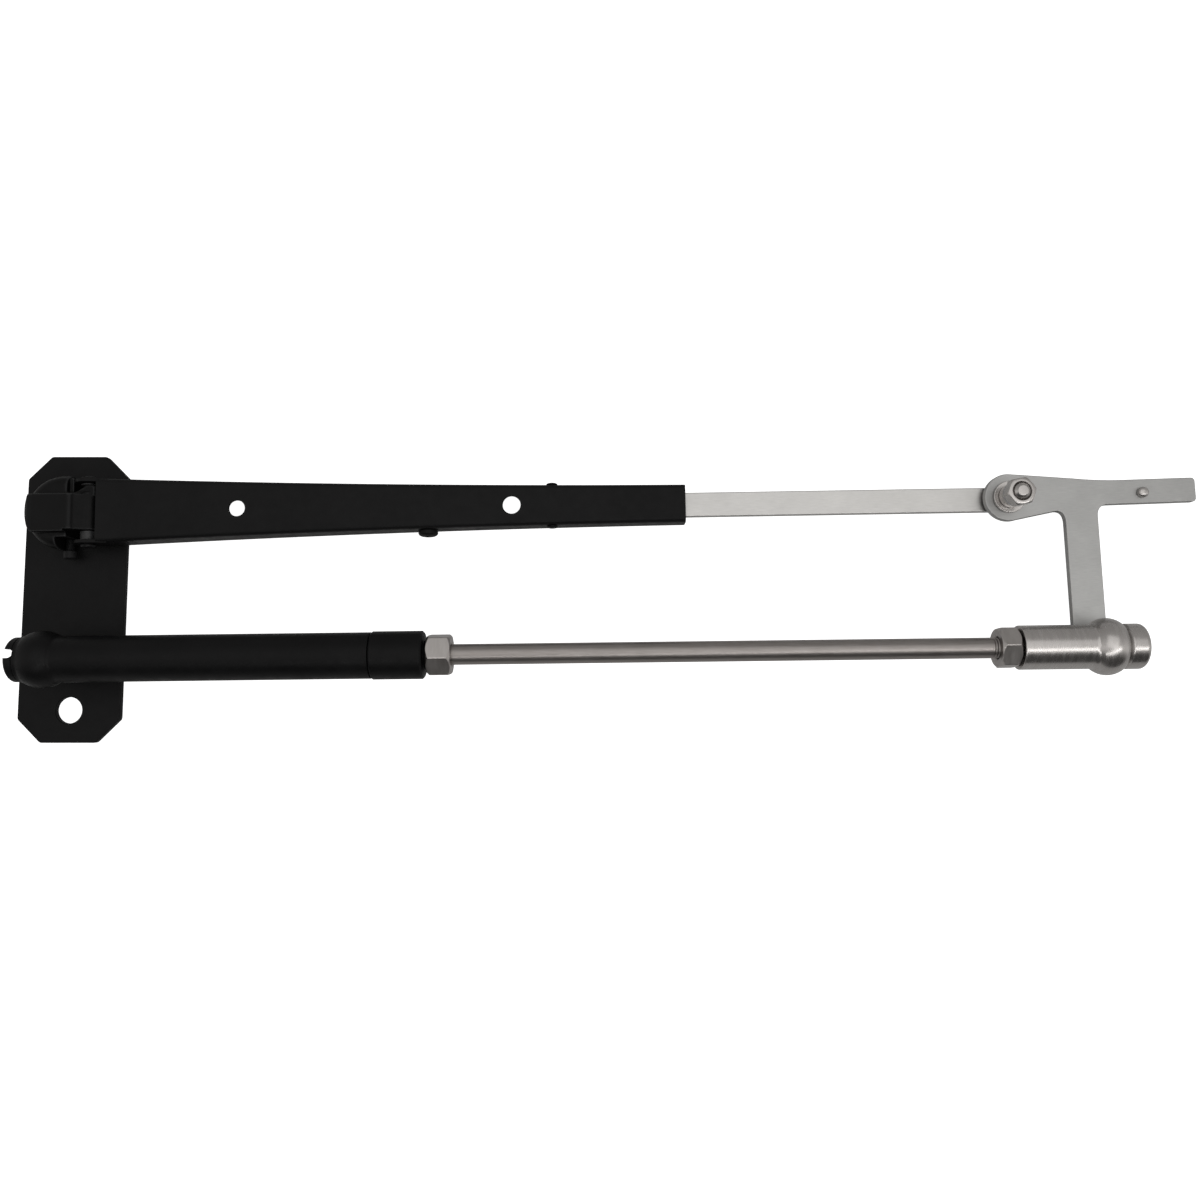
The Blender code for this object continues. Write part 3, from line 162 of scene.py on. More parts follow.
def powder_coat(name, dark, light, roughness, painted_edge_highlight=None):
    """Black powder coat: a fine orange peel, faint clouds and, if a painted edge highlight is given, sharp edges
    painted lighter as a highlight.
    """
    material, tree, shader = new_material(name)
    clouds = add_noise(tree, (1.0, 1.0, 1.0), 55.0, 3.0)
    colour = add_mix(tree, add_range(tree, clouds, 0.0, 1.0), dark, light)
    if painted_edge_highlight is not None:
        # painted highlight: convex edges found by pointiness are painted lighter, as if the rims caught the light
        geometry = tree.nodes.new("ShaderNodeNewGeometry")
        edges = add_range(tree, geometry.outputs["Pointiness"], 1.0, 0.0, 0.505, 0.56)
        colour = add_mix(tree, edges, painted_edge_highlight, colour)
    tree.links.new(colour, shader.inputs["Base Color"])
    peel = add_noise(tree, (1.0, 1.0, 1.0), 1500.0, 2.0)
    patches = add_noise(tree, (1.0, 1.0, 1.0), 240.0, 3.0)
    tree.links.new(add_range(tree, patches, roughness - 0.06, roughness + 0.08), shader.inputs["Roughness"])
    add_bump(tree, shader, peel, 0.35, 0.00012)
    shader.inputs["Specular IOR Level"].default_value = 0.12
    return material


def worked_metal(name, dark, light, roughness, grain, scale, depth):
    """Metal with marks drawn out along the axes where the grain is small, and faint stains."""
    material, tree, shader = new_material(name)
    marks = add_noise(tree, grain, scale, 2.5)
    stains = add_noise(tree, (1.0, 1.0, 1.0), 90.0, 4.0)
    tone = add_mix(tree, add_range(tree, marks, 0.0, 1.0), dark, light)
    stained = tree.nodes.new("ShaderNodeMix")
    stained.data_type = "RGBA"
    stained.blend_type = "MULTIPLY"
    stained.inputs["Factor"].default_value = 0.35
    tree.links.new(tone, stained.inputs["A"])
    grey = tree.nodes.new("ShaderNodeCombineColor")
    faint = add_range(tree, stains, 0.75, 1.0)
    for channel in ("Red", "Green", "Blue"):
        tree.links.new(faint, grey.inputs[channel])
    tree.links.new(grey.outputs["Color"], stained.inputs["B"])
    tree.links.new(stained.outputs["Result"], shader.inputs["Base Color"])
    tree.links.new(add_range(tree, marks, roughness - 0.03, roughness + 0.04), shader.inputs["Roughness"])
    add_bump(tree, shader, marks, 0.3, depth)
    shader.inputs["Metallic"].default_value = 1.0
    return material


def moulded_nylon(name, dark, light, roughness):
    material, tree, shader = new_material(name)
    grain = add_noise(tree, (1.0, 1.0, 1.0), 900.0, 3.0)
    tree.links.new(add_mix(tree, grain, dark, light), shader.inputs["Base Color"])
    tree.links.new(add_range(tree, grain, roughness - 0.08, roughness + 0.08), shader.inputs["Roughness"])
    add_bump(tree, shader, grain, 0.25, 0.00008)
    return material


coat = powder_coat("powder_coat", (0.0038, 0.0038, 0.004), (0.0056, 0.0056, 0.0058), 0.46)
tube_coat = powder_coat("tube_coat", (0.003, 0.003, 0.0032), (0.0046, 0.0046, 0.0048), 0.44)
# the cast head's coat has its rims and rib painted lighter as a painted highlight
cast_coat = powder_coat(
    "cast_coat", (0.0022, 0.0022, 0.0023), (0.0036, 0.0036, 0.0037), 0.42, painted_edge_highlight=(0.03, 0.03, 0.031))
dark_screws = powder_coat("dark_screws", (0.006, 0.006, 0.0063), (0.009, 0.009, 0.0095), 0.4)
sheet_steel = worked_metal(
    "sheet_steel", (0.36, 0.36, 0.355), (0.43, 0.43, 0.42), 0.42, (1.0, 22.0, 22.0), 260.0, 0.00003)
bar_steel = worked_metal(
    "bar_steel", (0.49, 0.482, 0.468), (0.58, 0.572, 0.557), 0.36, (1.0, 26.0, 26.0), 240.0, 0.00003)
turned_steel = worked_metal(
    "turned_steel", (0.44, 0.42, 0.405), (0.5, 0.48, 0.465), 0.26, (5.0, 1.0, 1.0), 120.0, 0.000001)
rod_steel = worked_metal(
    "rod_steel", (0.27, 0.248, 0.235), (0.33, 0.308, 0.295), 0.36, (1.0, 18.0, 18.0), 150.0, 0.00001)
nut_steel = worked_metal(
    "nut_steel", (0.4, 0.378, 0.362), (0.47, 0.448, 0.432), 0.32, (5.0, 1.0, 1.0), 120.0, 0.000002)
plated_steel = worked_metal(
    "plated_steel", (0.3, 0.3, 0.31), (0.45, 0.45, 0.46), 0.33, (3.0, 3.0, 3.0), 400.0, 0.00003)
brass = worked_metal("brass", (0.42, 0.3, 0.12), (0.6, 0.45, 0.2), 0.34, (2.0, 2.0, 12.0), 300.0, 0.00003)
nylon = moulded_nylon("nylon", (0.012, 0.012, 0.013), (0.022, 0.022, 0.023), 0.55)
NODE_LOOKS = {
    "black_coat": coat,
    "satin_stainless": sheet_steel,
    "bright_stainless": turned_steel,
    "spring_steel": plated_steel,
    "brass": brass,
    "black_nylon": nylon,
}


# ---------------------------------------------------------------- shape helpers, in millimetres
def oriented(axis, along, across, height):
    if axis == "X":
        return Vector((along, across, height))
    if axis == "Y":
        return Vector((across, along, height))
    return Vector((across, height, along))


def arc(centre, radius, start, end, steps):
    """Points on an arc in a plane, with angles in degrees and both ends included."""
    points = []
    for step in range(steps + 1):
        angle = radians(start + (end - start) * step / steps)
        points.append((centre[0] + radius * cos(angle), centre[1] + radius * sin(angle)))
    return points


def curve_to(start, corner, end, steps):
    """A smooth stretch from start to end, drawn towards the corner between them."""
    points = []
    for step in range(steps + 1):
        t = step / steps
        weights = ((1.0 - t) ** 2, 2.0 * t * (1.0 - t), t * t)
        points.append(tuple(sum(w * p[i] for w, p in zip(weights, (start, corner, end))) for i in (0, 1)))
    return points


def soften(profile, size, steps=4, closed=False):
    """Rounds each marked corner of a profile by a size, or by less where a side is short."""
    points = [Vector(point) for point in profile]
    count = len(points)
    made = []
    for index, point in enumerate(points):
        if not closed and index in (0, count - 1):
            made.append(tuple(point))
            continue
        before = points[index - 1] - point
        after = points[(index + 1) % count] - point
        reach = min(size, 0.45 * before.length, 0.45 * after.length)
        if before.length < 1e-6 or after.length < 1e-6 or before.angle(after) > radians(160.0):
            made.append(tuple(point))
            continue
        start = point + before.normalized() * reach
        end = point + after.normalized() * reach
        made += curve_to(tuple(start), tuple(point), tuple(end), steps)
    return made


def lathe(profile, axis="Z", segments=TURN, centre=(0.0, 0.0, 0.0), closed=False):
    """Turns (distance along, radius) points round an axis through centre."""
    shape = bmesh.new()
    rows = []
    for along, radius in profile:
        count = 1 if radius < 1e-6 else segments
        row = []
        for index in range(count):
            angle = 2.0 * pi * (index + 0.5) / segments
            point = oriented(axis, along, radius * cos(angle), radius * sin(angle))
            row.append(shape.verts.new(point + Vector(centre)))
        rows.append(row)
    pairs = list(zip(rows, rows[1:]))
    if closed:
        pairs.append((rows[-1], rows[0]))
    for first, second in pairs:
        for index in range(segments):
            follow = (index + 1) % segments
            corners = [first[index % len(first)], first[follow % len(first)]]
            corners += [second[follow % len(second)], second[index % len(second)]]
            corners = list(dict.fromkeys(corners))
            if len(corners) > 2:
                shape.faces.new(corners)
    return shape


def cylinder(radius, start, end, axis="Z", centre=(0.0, 0.0, 0.0), segments=FINE):
    return lathe(((start, 0.0), (start, radius), (end, radius), (end, 0.0)), axis, segments, centre)


def across(radius, x, z):
    return cylinder(radius, -BEYOND, BEYOND, "Y", (x, 0.0, z))


def ring(inner, outer, start, end, axis="Z", centre=(0.0, 0.0, 0.0), soft=0.25, segments=FINE):
    profile = ((start, inner), (start, outer), (end, outer), (end, inner))
    return lathe(soften(profile, soft, closed=True), axis, segments, centre, closed=True)


def loft(sections):
    shape = bmesh.new()
    loops = [[shape.verts.new(point) for point in section] for section in sections]
    for first, second in zip(loops, loops[1:]):
        for index in range(len(first)):
            follow = (index + 1) % len(first)
            shape.faces.new((first[index], first[follow], second[follow], second[index]))
    shape.faces.new(loops[0])
    shape.faces.new(loops[-1])
    return shape


def prism(outline, start, end, axis="Z", centre=(0.0, 0.0)):
    sections = []
    for along in (start, end):
        sections.append([oriented(axis, along, p[0] + centre[0], p[1] + centre[1]) for p in outline])
    return loft(sections)


def box(low, high):
    outline = ((low[0], low[1]), (high[0], low[1]), (high[0], high[1]), (low[0], high[1]))
    return prism(outline, low[2], high[2])


def wire(path, radius, sides=12):
    """A round wire along a path with rounded ends, its section carried along without twisting."""
    points = [Vector(point) for point in path]
    count = len(points)
    side = None
    sections = []
    for index, point in enumerate(points):
        ahead = points[min(index + 1, count - 1)] - points[max(index - 1, 0)]
        ahead.normalize()
        if side is None:
            side = ahead.orthogonal()
        side = (side - ahead * side.dot(ahead)).normalized()
        other = ahead.cross(side)
        size = radius * (0.72 if index in (0, count - 1) else 1.0)
        section = []
        for corner in range(sides):
            angle = 2.0 * pi * corner / sides
            section.append(point + size * (side * cos(angle) + other * sin(angle)))
        sections.append(section)
    return loft(sections)


def smooth_path(points, steps=8):
    """A Catmull-Rom curve through the points."""
    dots = [Vector(point) for point in points]
    ends = [2 * dots[0] - dots[1]] + dots + [2 * dots[-1] - dots[-2]]
    path = []
    for a, b, c, d in zip(ends, ends[1:], ends[2:], ends[3:]):
        for step in range(steps):
            t = step / steps
            point = 2 * b + (c - a) * t + (2 * a - 5 * b + 4 * c - d) * t**2
            path.append(0.5 * (point + (3 * b - a - 3 * c + d) * t**3))
    return path + [dots[-1]]


def hexagon(across_flats, turn=0.0):
    radius = across_flats / sqrt(3.0)
    return [(radius * cos(turn + pi * k / 3.0), radius * sin(turn + pi * k / 3.0)) for k in range(6)]


# ---------------------------------------------------------------- making pieces
def raw_object(name, shape):
    bmesh.ops.remove_doubles(shape, verts=shape.verts, dist=1e-5)
    bmesh.ops.recalc_face_normals(shape, faces=shape.faces)
    mesh = bpy.data.meshes.new(name)
    shape.to_mesh(mesh)
    shape.free()
    thing = bpy.data.objects.new(name, mesh)
    bpy.context.scene.collection.objects.link(thing)
    return thing


def apply_modifiers(thing):
    bpy.context.view_layer.update()
    evaluated = thing.evaluated_get(bpy.context.evaluated_depsgraph_get())
    mesh = bpy.data.meshes.new_from_object(evaluated)
    thing.modifiers.clear()
    thing.data = mesh


def combine(target, other, operation):
    modifier = target.modifiers.new(operation, "BOOLEAN")
    modifier.operation = operation
    modifier.solver = "EXACT"
    modifier.object = other
    apply_modifiers(target)
    bpy.data.objects.remove(other, do_unlink=True)


def make(name, shape, cuts=(), adds=(), bevel=0.0, keep=None):
    """A piece in millimetres: a shape with others added, kept within or cut away, then bevelled."""
    thing = raw_object(name, shape)
    for other in adds:
        combine(thing, raw_object("addition", other), "UNION")
    if keep is not None:
        combine(thing, raw_object("keep", keep), "INTERSECT")
    for other in cuts:
        combine(thing, raw_object("cutter", other), "DIFFERENCE")
    if bevel:
        modifier = thing.modifiers.new("bevel", "BEVEL")
        modifier.width = bevel
        modifier.segments = 3
        modifier.limit_method = "ANGLE"
        modifier.angle_limit = BEVEL_ANGLE
        apply_modifiers(thing)
    return thing


def settle(thing, place, body, material, slot, *nodes):
    """Moves a piece from its local frame to the model's, and gives it its look and its body."""
    thing.data.transform(place @ Matrix.Scale(MM, 4))
    thing.data.materials.clear()
    thing.data.materials.append(material)
    thing.data.shade_smooth()
    thing.data.set_sharp_from_angle(angle=SOFT_ANGLE)
    modifier = thing.modifiers.new("weighted", "WEIGHTED_NORMAL")
    modifier.keep_sharp = True
    apply_modifiers(thing)
    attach(thing, body)
    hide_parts(*nodes)
    return thing


# ---------------------------------------------------------------- mounting plate and idler stud
def make_plate():
    low, high = extent("mount_plate", PLATE)
    chamfer = 9.2
    near = high.x - chamfer
    far = high.y - chamfer
    corners = [(near, high.y), (high.x, far), (high.x, -far), (near, -high.y)]
    corners += [(-x, y) for x, y in reversed(corners)]
    outline = soften(corners, 0.8, closed=True)
    centre = ARM.translation / MM
    ball = IDLER.translation / MM
    shaft_hole_r, fixing_hole_r, fixing_hole_y = 8.5, 5.2, -44.4
    holes = [cylinder(shaft_hole_r, -1.0, 5.0, centre=(0.0, centre.y, 0.0), segments=TURN)]
    holes.append(cylinder(fixing_hole_r, -1.0, 5.0, centre=(0.0, fixing_hole_y, 0.0), segments=TURN))
    seat = ((-1.0, 0.0), (-1.0, 5.6), (1.4, 5.6), (1.4, 3.9), (4.0, 3.9), (4.0, 0.0))
    holes.append(lathe(seat, centre=(0.0, ball.y, 0.0)))
    plate = make("plate", prism(outline, low.z, high.z), cuts=holes, bevel=0.45)
    settle(plate, PLATE, "mounting", coat, "black_coat", "mount_plate")


def ball_of(radius, neck):
    start = degrees(pi - atan2(neck, sqrt(radius**2 - neck**2)))
    return arc((0.0, 0.0), radius, start, 0.0, 24)[:-1] + [(radius, 0.0)]


def make_idler_stud():
    low, high = extent("idler_ball_stud", IDLER)
    base = low.z - 0.2
    profile = [(low.z, 0.0), (low.z, 5.2), (base + 1.1, 5.2), (base + 1.1, 3.5), (base + 6.2, 3.5)]
    profile += [(base + 6.2, 7.6), (base + 8.4, 7.6), (base + 9.4, 3.4), (base + 12.0, 2.6)]
    stud = make("idler_stud", lathe(soften(profile, 0.4) + ball_of(high.z, 2.6), segments=FINE))
    settle(stud, IDLER, "mounting", plated_steel, "spring_steel", "idler_ball_stud")
    low, high = extent("idler_spacer", PLATE)
    centre = (0.0, IDLER.translation.y / MM, 0.0)
    spacer = make("stud_spacer", ring(3.9, high.x, low.z, high.z, centre=centre, soft=0.5))
    settle(spacer, PLATE, "mounting", nylon, "black_nylon", "idler_spacer")


# ---------------------------------------------------------------- drive head
def make_head():
    """A casting: its plain bodies are joined, remeshed and smoothed, so every edge is rounded."""
    rim = 12.5
    radius = 14.6
    base = 3.4
    dome = [(base, 0.0), (base, radius - 0.8), (base + 1.2, radius), (rim - 1.0, radius)]
    dome += curve_to((rim - 1.0, radius), (rim + 3.4, radius - 0.2), (16.5, 10.5), 8) + [(16.5, 0.0)]
    side_cut = 2.4
    fill_end = 3.9
    fold = 4.6
    top = 19.5
    cap_r = 13.2
    knuckle_half = 7.3
    above = 30.0
    head = raw_object("head", lathe(dome))
    beside = box((side_cut, -BEYOND, 0.0), (BEYOND, BEYOND, above))
    combine(head, raw_object("cut", beside), "DIFFERENCE")
    shoulder = [(-2.0, 13.9), (-2.0, 5.0), (fill_end, 5.0), (fill_end, 13.4)]
    combine(head, raw_object("add", prism(shoulder, base, rim + 1.4)), "UNION")
    below = box((-2.0, -BEYOND, 0.0), (BEYOND, -10.0, above))
    combine(head, raw_object("cut", below), "DIFFERENCE")
    block = [(-13.9, rim), (-13.9, 17.2), (-11.6, 19.0), (-9.6, top), (fold, top)]
    block += [(11.2, 15.6), (11.2, rim)]
    cap = raw_object("cap", prism(block, -8.2, 6.6, "Y"))
    combine(cap, raw_object("round", cylinder(cap_r, 0.0, above, segments=TURN)), "INTERSECT")
    combine(head, cap, "UNION")
    rib = cylinder(1.3, -7.9, 6.3, "Y", (fold, 0.0, top - 1.0))
    combine(head, raw_object("rib", rib), "UNION")
    knuckle = [(0.0, 4.2), (HINGE[0] + 2.8, 4.2)] + arc(HINGE, 4.0, -70.0, 80.0, 24)
    knuckle += [(0.0, HINGE[1] + 3.8)]
    combine(head, raw_object("add", prism(knuckle, -knuckle_half, knuckle_half, "Y")), "UNION")
    clear = knuckle_half + 0.1
    for start, low_y, high_y in ((fill_end, clear, BEYOND), (side_cut, -BEYOND, -clear)):
        ear_room = box((start, low_y, 0.0), (BEYOND, high_y, above))
        combine(head, raw_object("cut", ear_room), "DIFFERENCE")
    cheek = [(1.0, 6.0), (1.0, 6.6), (3.0, 6.8), (6.0, 7.7), (10.0, 10.2), (12.4, 10.2)]
    cheek += [(13.0, 9.6), (13.0, 6.0)]
    combine(head, raw_object("add", prism(cheek, 11.8, 15.9)), "UNION")
    remesh = head.modifiers.new("remesh", "REMESH")
    remesh.mode = "VOXEL"
    remesh.voxel_size = 0.3
    smooth = head.modifiers.new("smooth", "SMOOTH")
    smooth.iterations = 6
    smooth.factor = 0.5
    apply_modifiers(head)
    high = extent("knurled_insert", ARM)[1]
    bore = cylinder(high.x + GAP, 0.0, high.z + GAP, segments=TURN)
    hook_hole = across(1.8, 9.3, 6.9)
    screw_hole = cylinder(2.0, -BEYOND, -5.0, "Y", (0.0, 0.0, 7.4))
    holes = [bore, across(HINGE_HOLE_R, *HINGE), hook_hole, screw_hole]
    for hole in holes:
        combine(head, raw_object("hole", hole), "DIFFERENCE")
    settle(head, ARM, "drive", cast_coat, "black_coat", "drive_head")


def make_head_screw():
    low, high = extent("head_set_screw", ARM)
    start = low.y
    profile = [(start, 0.0), (start, 2.3), (start + 0.5, 2.6), (start + 3.0, 2.6), (start + 3.0, 1.7)]
    profile += threads(start + 3.2, high.y - 0.8, 1.7, 0.5, 0.25) + [(high.y, 0.9), (high.y, 0.0)]
    centre = (0.0, 0.0, 0.5 * (low.z + high.z))
    shape = lathe(soften(profile, 0.2), "Y", FINE, centre)
    socket = prism(hexagon(2.4), start - 1.0, start + 1.6, "Y", (0.0, centre[2]))
    screw = make("head_screw", shape, cuts=[socket])
    settle(screw, ARM, "drive", dark_screws, "black_coat", "head_set_screw")
    low, high = extent("spring_hook_pin", ARM)
    centre = (0.5 * (low.x + high.x), 0.0, 0.5 * (low.z + high.z))
    profile = [(low.y, 0.0), (low.y, high.x - centre[0]), (high.y, high.x - centre[0]), (high.y, 0.0)]
    pin = make("hook_pin", lathe(soften(profile, 0.45), "Y", FINE, centre))
    settle(pin, ARM, "drive", plated_steel, "spring_steel", "spring_hook_pin")


def threads(start, end, radius, pitch, depth):
    """The outline of a screw thread, as rings one pitch apart."""
    count = max(1, round((end - start) / pitch))
    step = (end - start) / count
    points = [(start, radius - depth)]
    for turn in range(count):
        points.append((start + step * (turn + 0.45), radius))
        points.append((start + step * (turn + 0.55), radius))
        points.append((start + step * (turn + 1.0), radius - depth))
    return points


# ---------------------------------------------------------------- main arm channel
CHANNEL_START = 14.3
CHANNEL_END = extent("arm_channel", ARM)[1].x
CHANNEL_DROP = 5.4  # how much the web falls from its start to its end
WALL = 1.2


def channel_share(x):
    return (CHANNEL_END - x) / (CHANNEL_END - CHANNEL_START)


def channel_half(x):
    share = channel_share(x)
    return 7.5 + share + 4.1 * share * share


def channel_section(x):
    share = channel_share(x)
    half = channel_half(x)
    top = 12.4 + CHANNEL_DROP * share
    lip = 3.2 + 2.2 * share
    corner_r = 1.8
    support = 0.15  # an edge this near a rounded corner keeps the flat side's shading flat
    inner = half - WALL
    outer_arc = arc((half - corner_r, top - corner_r), corner_r, 0.0, 90.0, 8)
    outer_arc = [(half, top - corner_r - support)] + outer_arc + [(half - corner_r - support, top)]
    inner_r = corner_r - WALL
    inner_arc = arc((inner - inner_r, top - WALL - inner_r), inner_r, 90.0, 0.0, 5)
    lip_arc = arc((half - 0.4, lip + 0.4), 0.4, -90.0, 0.0, 3)
    right = lip_arc + outer_arc
    left = [(-y, z) for y, z in reversed(right)]
    inside_left = [(-y, z) for y, z in reversed(inner_arc)]
    inside = [(-inner, lip)] + inside_left + inner_arc + [(inner, lip)]
    return [(x, y, z) for y, z in right + left + inside]


def make_channel():
    count = 24
    length = CHANNEL_END - CHANNEL_START
    shape = loft([channel_section(CHANNEL_START + length * k / count) for k in range(count + 1)])
    reach = 5.3
    outer = channel_half(CHANNEL_START)
    neck = CHANNEL_START + 4.0
    ear = [(neck, HINGE[1] + reach - 1.2), (neck, HINGE[1] - reach)]
    ear += [(HINGE[0] - x, HINGE[1] - z) for x, z in arc((0.0, 0.0), reach, 90.0, -90.0, 32)]
    ears = []
    for side in (-1.0, 1.0):
        edges = sorted((side * (outer - WALL), side * (outer - 0.02)))
        ears.append(prism(ear, edges[0], edges[1], "Y"))
    holes = [cylinder(radius, 0.0, 30.0, centre=(x, 0.0, 0.0)) for x, radius in WEB_HOLES]
    holes += [across(HINGE_HOLE_R, *HINGE), across(ANCHOR_HOLE_R, *ANCHOR), across(RIVET_HOLE_R, *RIVET)]
    channel = make("channel", shape, adds=ears, cuts=holes, bevel=0.25)
    settle(channel, ARM, "arm", coat, "black_coat", "arm_channel")


def make_hinge():
    low, high = extent("hinge_pin", ARM)
    centre = (0.5 * (low.x + high.x), 0.0, 0.5 * (low.z + high.z))
    head = 0.5 * (high.z - low.z)
    face = low.y + 1.1
    profile = [(low.y, 0.0), (low.y, head - 0.3), (face - 0.4, head), (face, head), (face, 2.0)]
    profile += [(high.y - 1.4, 2.0), (high.y - 1.4, 1.5), (high.y - 0.9, 1.5), (high.y - 0.9, 2.0)]
    profile += [(high.y - 0.3, 2.0), (high.y, 1.6), (high.y, 0.0)]
    pin = make("hinge_axle", lathe(soften(profile, 0.25), "Y", FINE, centre))
    settle(pin, ARM, "arm", dark_screws, "black_coat", "hinge_pin")
    for side, node in (("low", "hinge_bush_lower"), ("high", "hinge_bush_upper")):
        low, high = extent(node, ARM)
        bush = ring(2.2, 0.5 * (high.x - low.x), low.y, high.y, "Y", centre, 0.3)
        settle(make(f"bush_{side}", bush), ARM, "arm", nylon, "black_nylon", node)
    low, high = extent("hinge_clip", ARM)
    first = (centre[0] + 1.0, low.y - 1.0, centre[2] - 1.0)
    last = (centre[0] + 5.0, high.y + 1.0, centre[2] + 1.0)
    body = ring(2.2, 3.2, low.y, high.y, "Y", centre, 0.15)
    clip = make("retaining_clip", body, cuts=[box(first, last)], bevel=0.12)
    settle(clip, ARM, "arm", dark_screws, "black_coat", "hinge_clip")


def make_arm_fasteners():
    low, high = extent("spring_anchor_screw", ARM)
    x, z = 0.5 * (low.x + high.x), 0.5 * (low.z + high.z)
    head = low.y + 2.4
    reach = 0.5 * (high.x - low.x)
    pan = curve_to((low.y, 0.0), (low.y, reach * 0.98), (head - 0.9, reach), 10)
    profile = pan + [(head, reach), (head, 2.0), (high.y, 2.0), (high.y, 0.0)]
    crosses = []
    for wide, tall in ((2.0, 0.45), (0.45, 2.0)):
        crosses.append(box((x - wide, low.y - 1.0, z - tall), (x + wide, low.y + 1.2, z + tall)))
    screw = make("anchor_screw", lathe(profile, "Y", FINE, (x, 0.0, z)), cuts=crosses)
    settle(screw, ARM, "arm", coat, "black_coat", "spring_anchor_screw")
    low, high = extent("anchor_nut", ARM)
    nut = make("square_nut", box(low, high), cuts=[across(ANCHOR_HOLE_R, x, z)], bevel=0.35)
    settle(nut, ARM, "arm", plated_steel, "spring_steel", "anchor_nut")
    low, high = extent("cross_rivet", ARM)
    x, z = 0.5 * (low.x + high.x), 0.5 * (low.z + high.z)
    reach = 0.5 * (high.x - low.x)
    cap = curve_to((low.y, 0.0), (low.y, reach), (low.y + 0.8, reach), 8) + [(low.y + 0.8, 1.4)]
    profile = cap + [(-along, radius) for along, radius in reversed(cap)]
    rivet = make("rivet", lathe(profile, "Y", FINE, (x, 0.0, z)))
    settle(rivet, ARM, "arm", coat, "black_coat", "cross_rivet")


def make_clamp():
    low, high = extent("clamp_block", ARM)
    sections = []
    slope = CHANNEL_DROP / (CHANNEL_END - CHANNEL_START)
    for x, top in ((low.x, high.z), (high.x, high.z - slope * (high.x - low.x))):
        loop = [(low.y, low.z), (high.y, low.z), (high.y, top), (low.y, top)]
        sections.append([(x, y, z) for y, z in soften(loop, 0.7, closed=True)])
    bar_low, bar_high = extent("extension_bar", ARM)
    slot_low = (low.x - 1.0, bar_low.y - GAP, bar_low.z - GAP)
    slot_high = (high.x + 1.0, bar_high.y + GAP, bar_high.z + GAP)
    cuts = [box(slot_low, slot_high), across(RIVET_HOLE_R, *RIVET)]
    places = []
    for number in (1, 2):
        screw_low, screw_high = extent(f"clamp_set_screw_{number}", ARM)
        places.append((0.5 * (screw_low.x + screw_high.x), 0.0, 0.0))
        cuts.append(cylinder(0.5 * (screw_high.x - screw_low.x) + GAP, 0.0, 6.0, centre=places[-1]))
    block = make("bar_clamp", loft(sections), cuts=cuts, bevel=0.2)
    settle(block, ARM, "arm", sheet_steel, "satin_stainless", "clamp_block")
    for number, place in enumerate(places, 1):
        screw_low, screw_high = extent(f"clamp_set_screw_{number}", ARM)
        start, end = screw_low.z, screw_high.z
        profile = [(start, 0.0), (start, 1.9)] + threads(start + 0.2, end - 0.4, 2.3, 0.6, 0.28)
        profile += [(end, 1.5), (end, 0.0)]
        socket = prism(hexagon(2.5), start - 1.0, start + 1.8, "Z", place[:2])
        screw = make(f"grub_screw_{number}", lathe(profile, "Z", FINE, place), cuts=[socket])
        node = f"clamp_set_screw_{number}"
        settle(screw, ARM, "arm", plated_steel, "spring_steel", node)


def make_bar():
    low, high = extent("extension_bar", ARM)
    tip = Vector(joints["tip_pivot"]["pos_m"])
    end = (tip - ARM.translation).to_2d().length / MM
    outline = [(low.x, low.y), (end, low.y)] + arc((end, 0.0), high.y, -84.0, 84.0, 28)
    outline += [(end, high.y), (low.x, high.y)]
    hole = cylinder(BOLT_HOLE_R, 0.0, BEYOND, centre=(end, 0.0, 0.0))
    bar = make("sliding_bar", prism(outline, low.z, high.z), cuts=[hole], bevel=0.4)
    settle(bar, ARM, "extension", bar_steel, "satin_stainless", "extension_bar")


# ---------------------------------------------------------------- spring and yoke
def make_spring():
    x_bend = 74.0
    leg = 6.0
    level = ANCHOR[1]
    pin_low, pin_high = extent("spring_hook_pin", ARM)
    hook_centre = (0.5 * (pin_low.x + pin_high.x), 0.5 * (pin_low.z + pin_high.z) + GAP)
    half = [(x, 9.3, z) for x, z in arc(hook_centre, 2.9, 125.0, 270.0, 12)]
    half += [(13.0, 9.3, half[-1][2] + 0.1), (20.0, 9.0, 5.2), (34.0, 7.4, 7.0), (50.0, 6.3, 8.5)]
    half += [(x_bend - 8.0, leg, level)]
    bend = [(x, y, level) for x, y in arc((x_bend, 0.0), leg, 90.0, -90.0, 16)]
    path = half + bend + [(x, -y, z) for x, y, z in reversed(half)]
    yoke = make("yoke_wire", wire(smooth_path(path, 4), 0.8, 14))
    settle(yoke, ARM, "spring_pull", plated_steel, "spring_steel", "spring_yoke")
    start, end, radius, turns, steps = 84.0, 133.0, 3.2, 26, 20
    coils = []
    for step in range(turns * steps + 1):
        share = step / (turns * steps)
        angle = 2.0 * pi * turns * share
        coils.append((start + (end - start) * share, -radius * sin(angle), radius * cos(angle)))
    near = hook(x_bend + leg, start, radius, 0.0)
    far = hook(ANCHOR[0], end, radius, 1.4)
    path = [(x, y, z + level) for x, y, z in near + coils + far[::-1]]
    spring = make("pull_spring", wire(path, 0.68, 10))
    settle(spring, ARM, "spring_pull", plated_steel, "spring_steel", "tension_spring")


def hook(held_x, coil_x, radius, slack):
    """A loop round a bar at held_x, from its open end to the first coil."""
    away = 1.0 if held_x > coil_x else -1.0
    path = [(held_x + away * (slack + x), 0.0, z) for x, z in arc((0.0, 0.0), 3.1, -130.0, 90.0, 24)]
    return path + [(0.5 * (held_x + coil_x), 0.0, radius)]


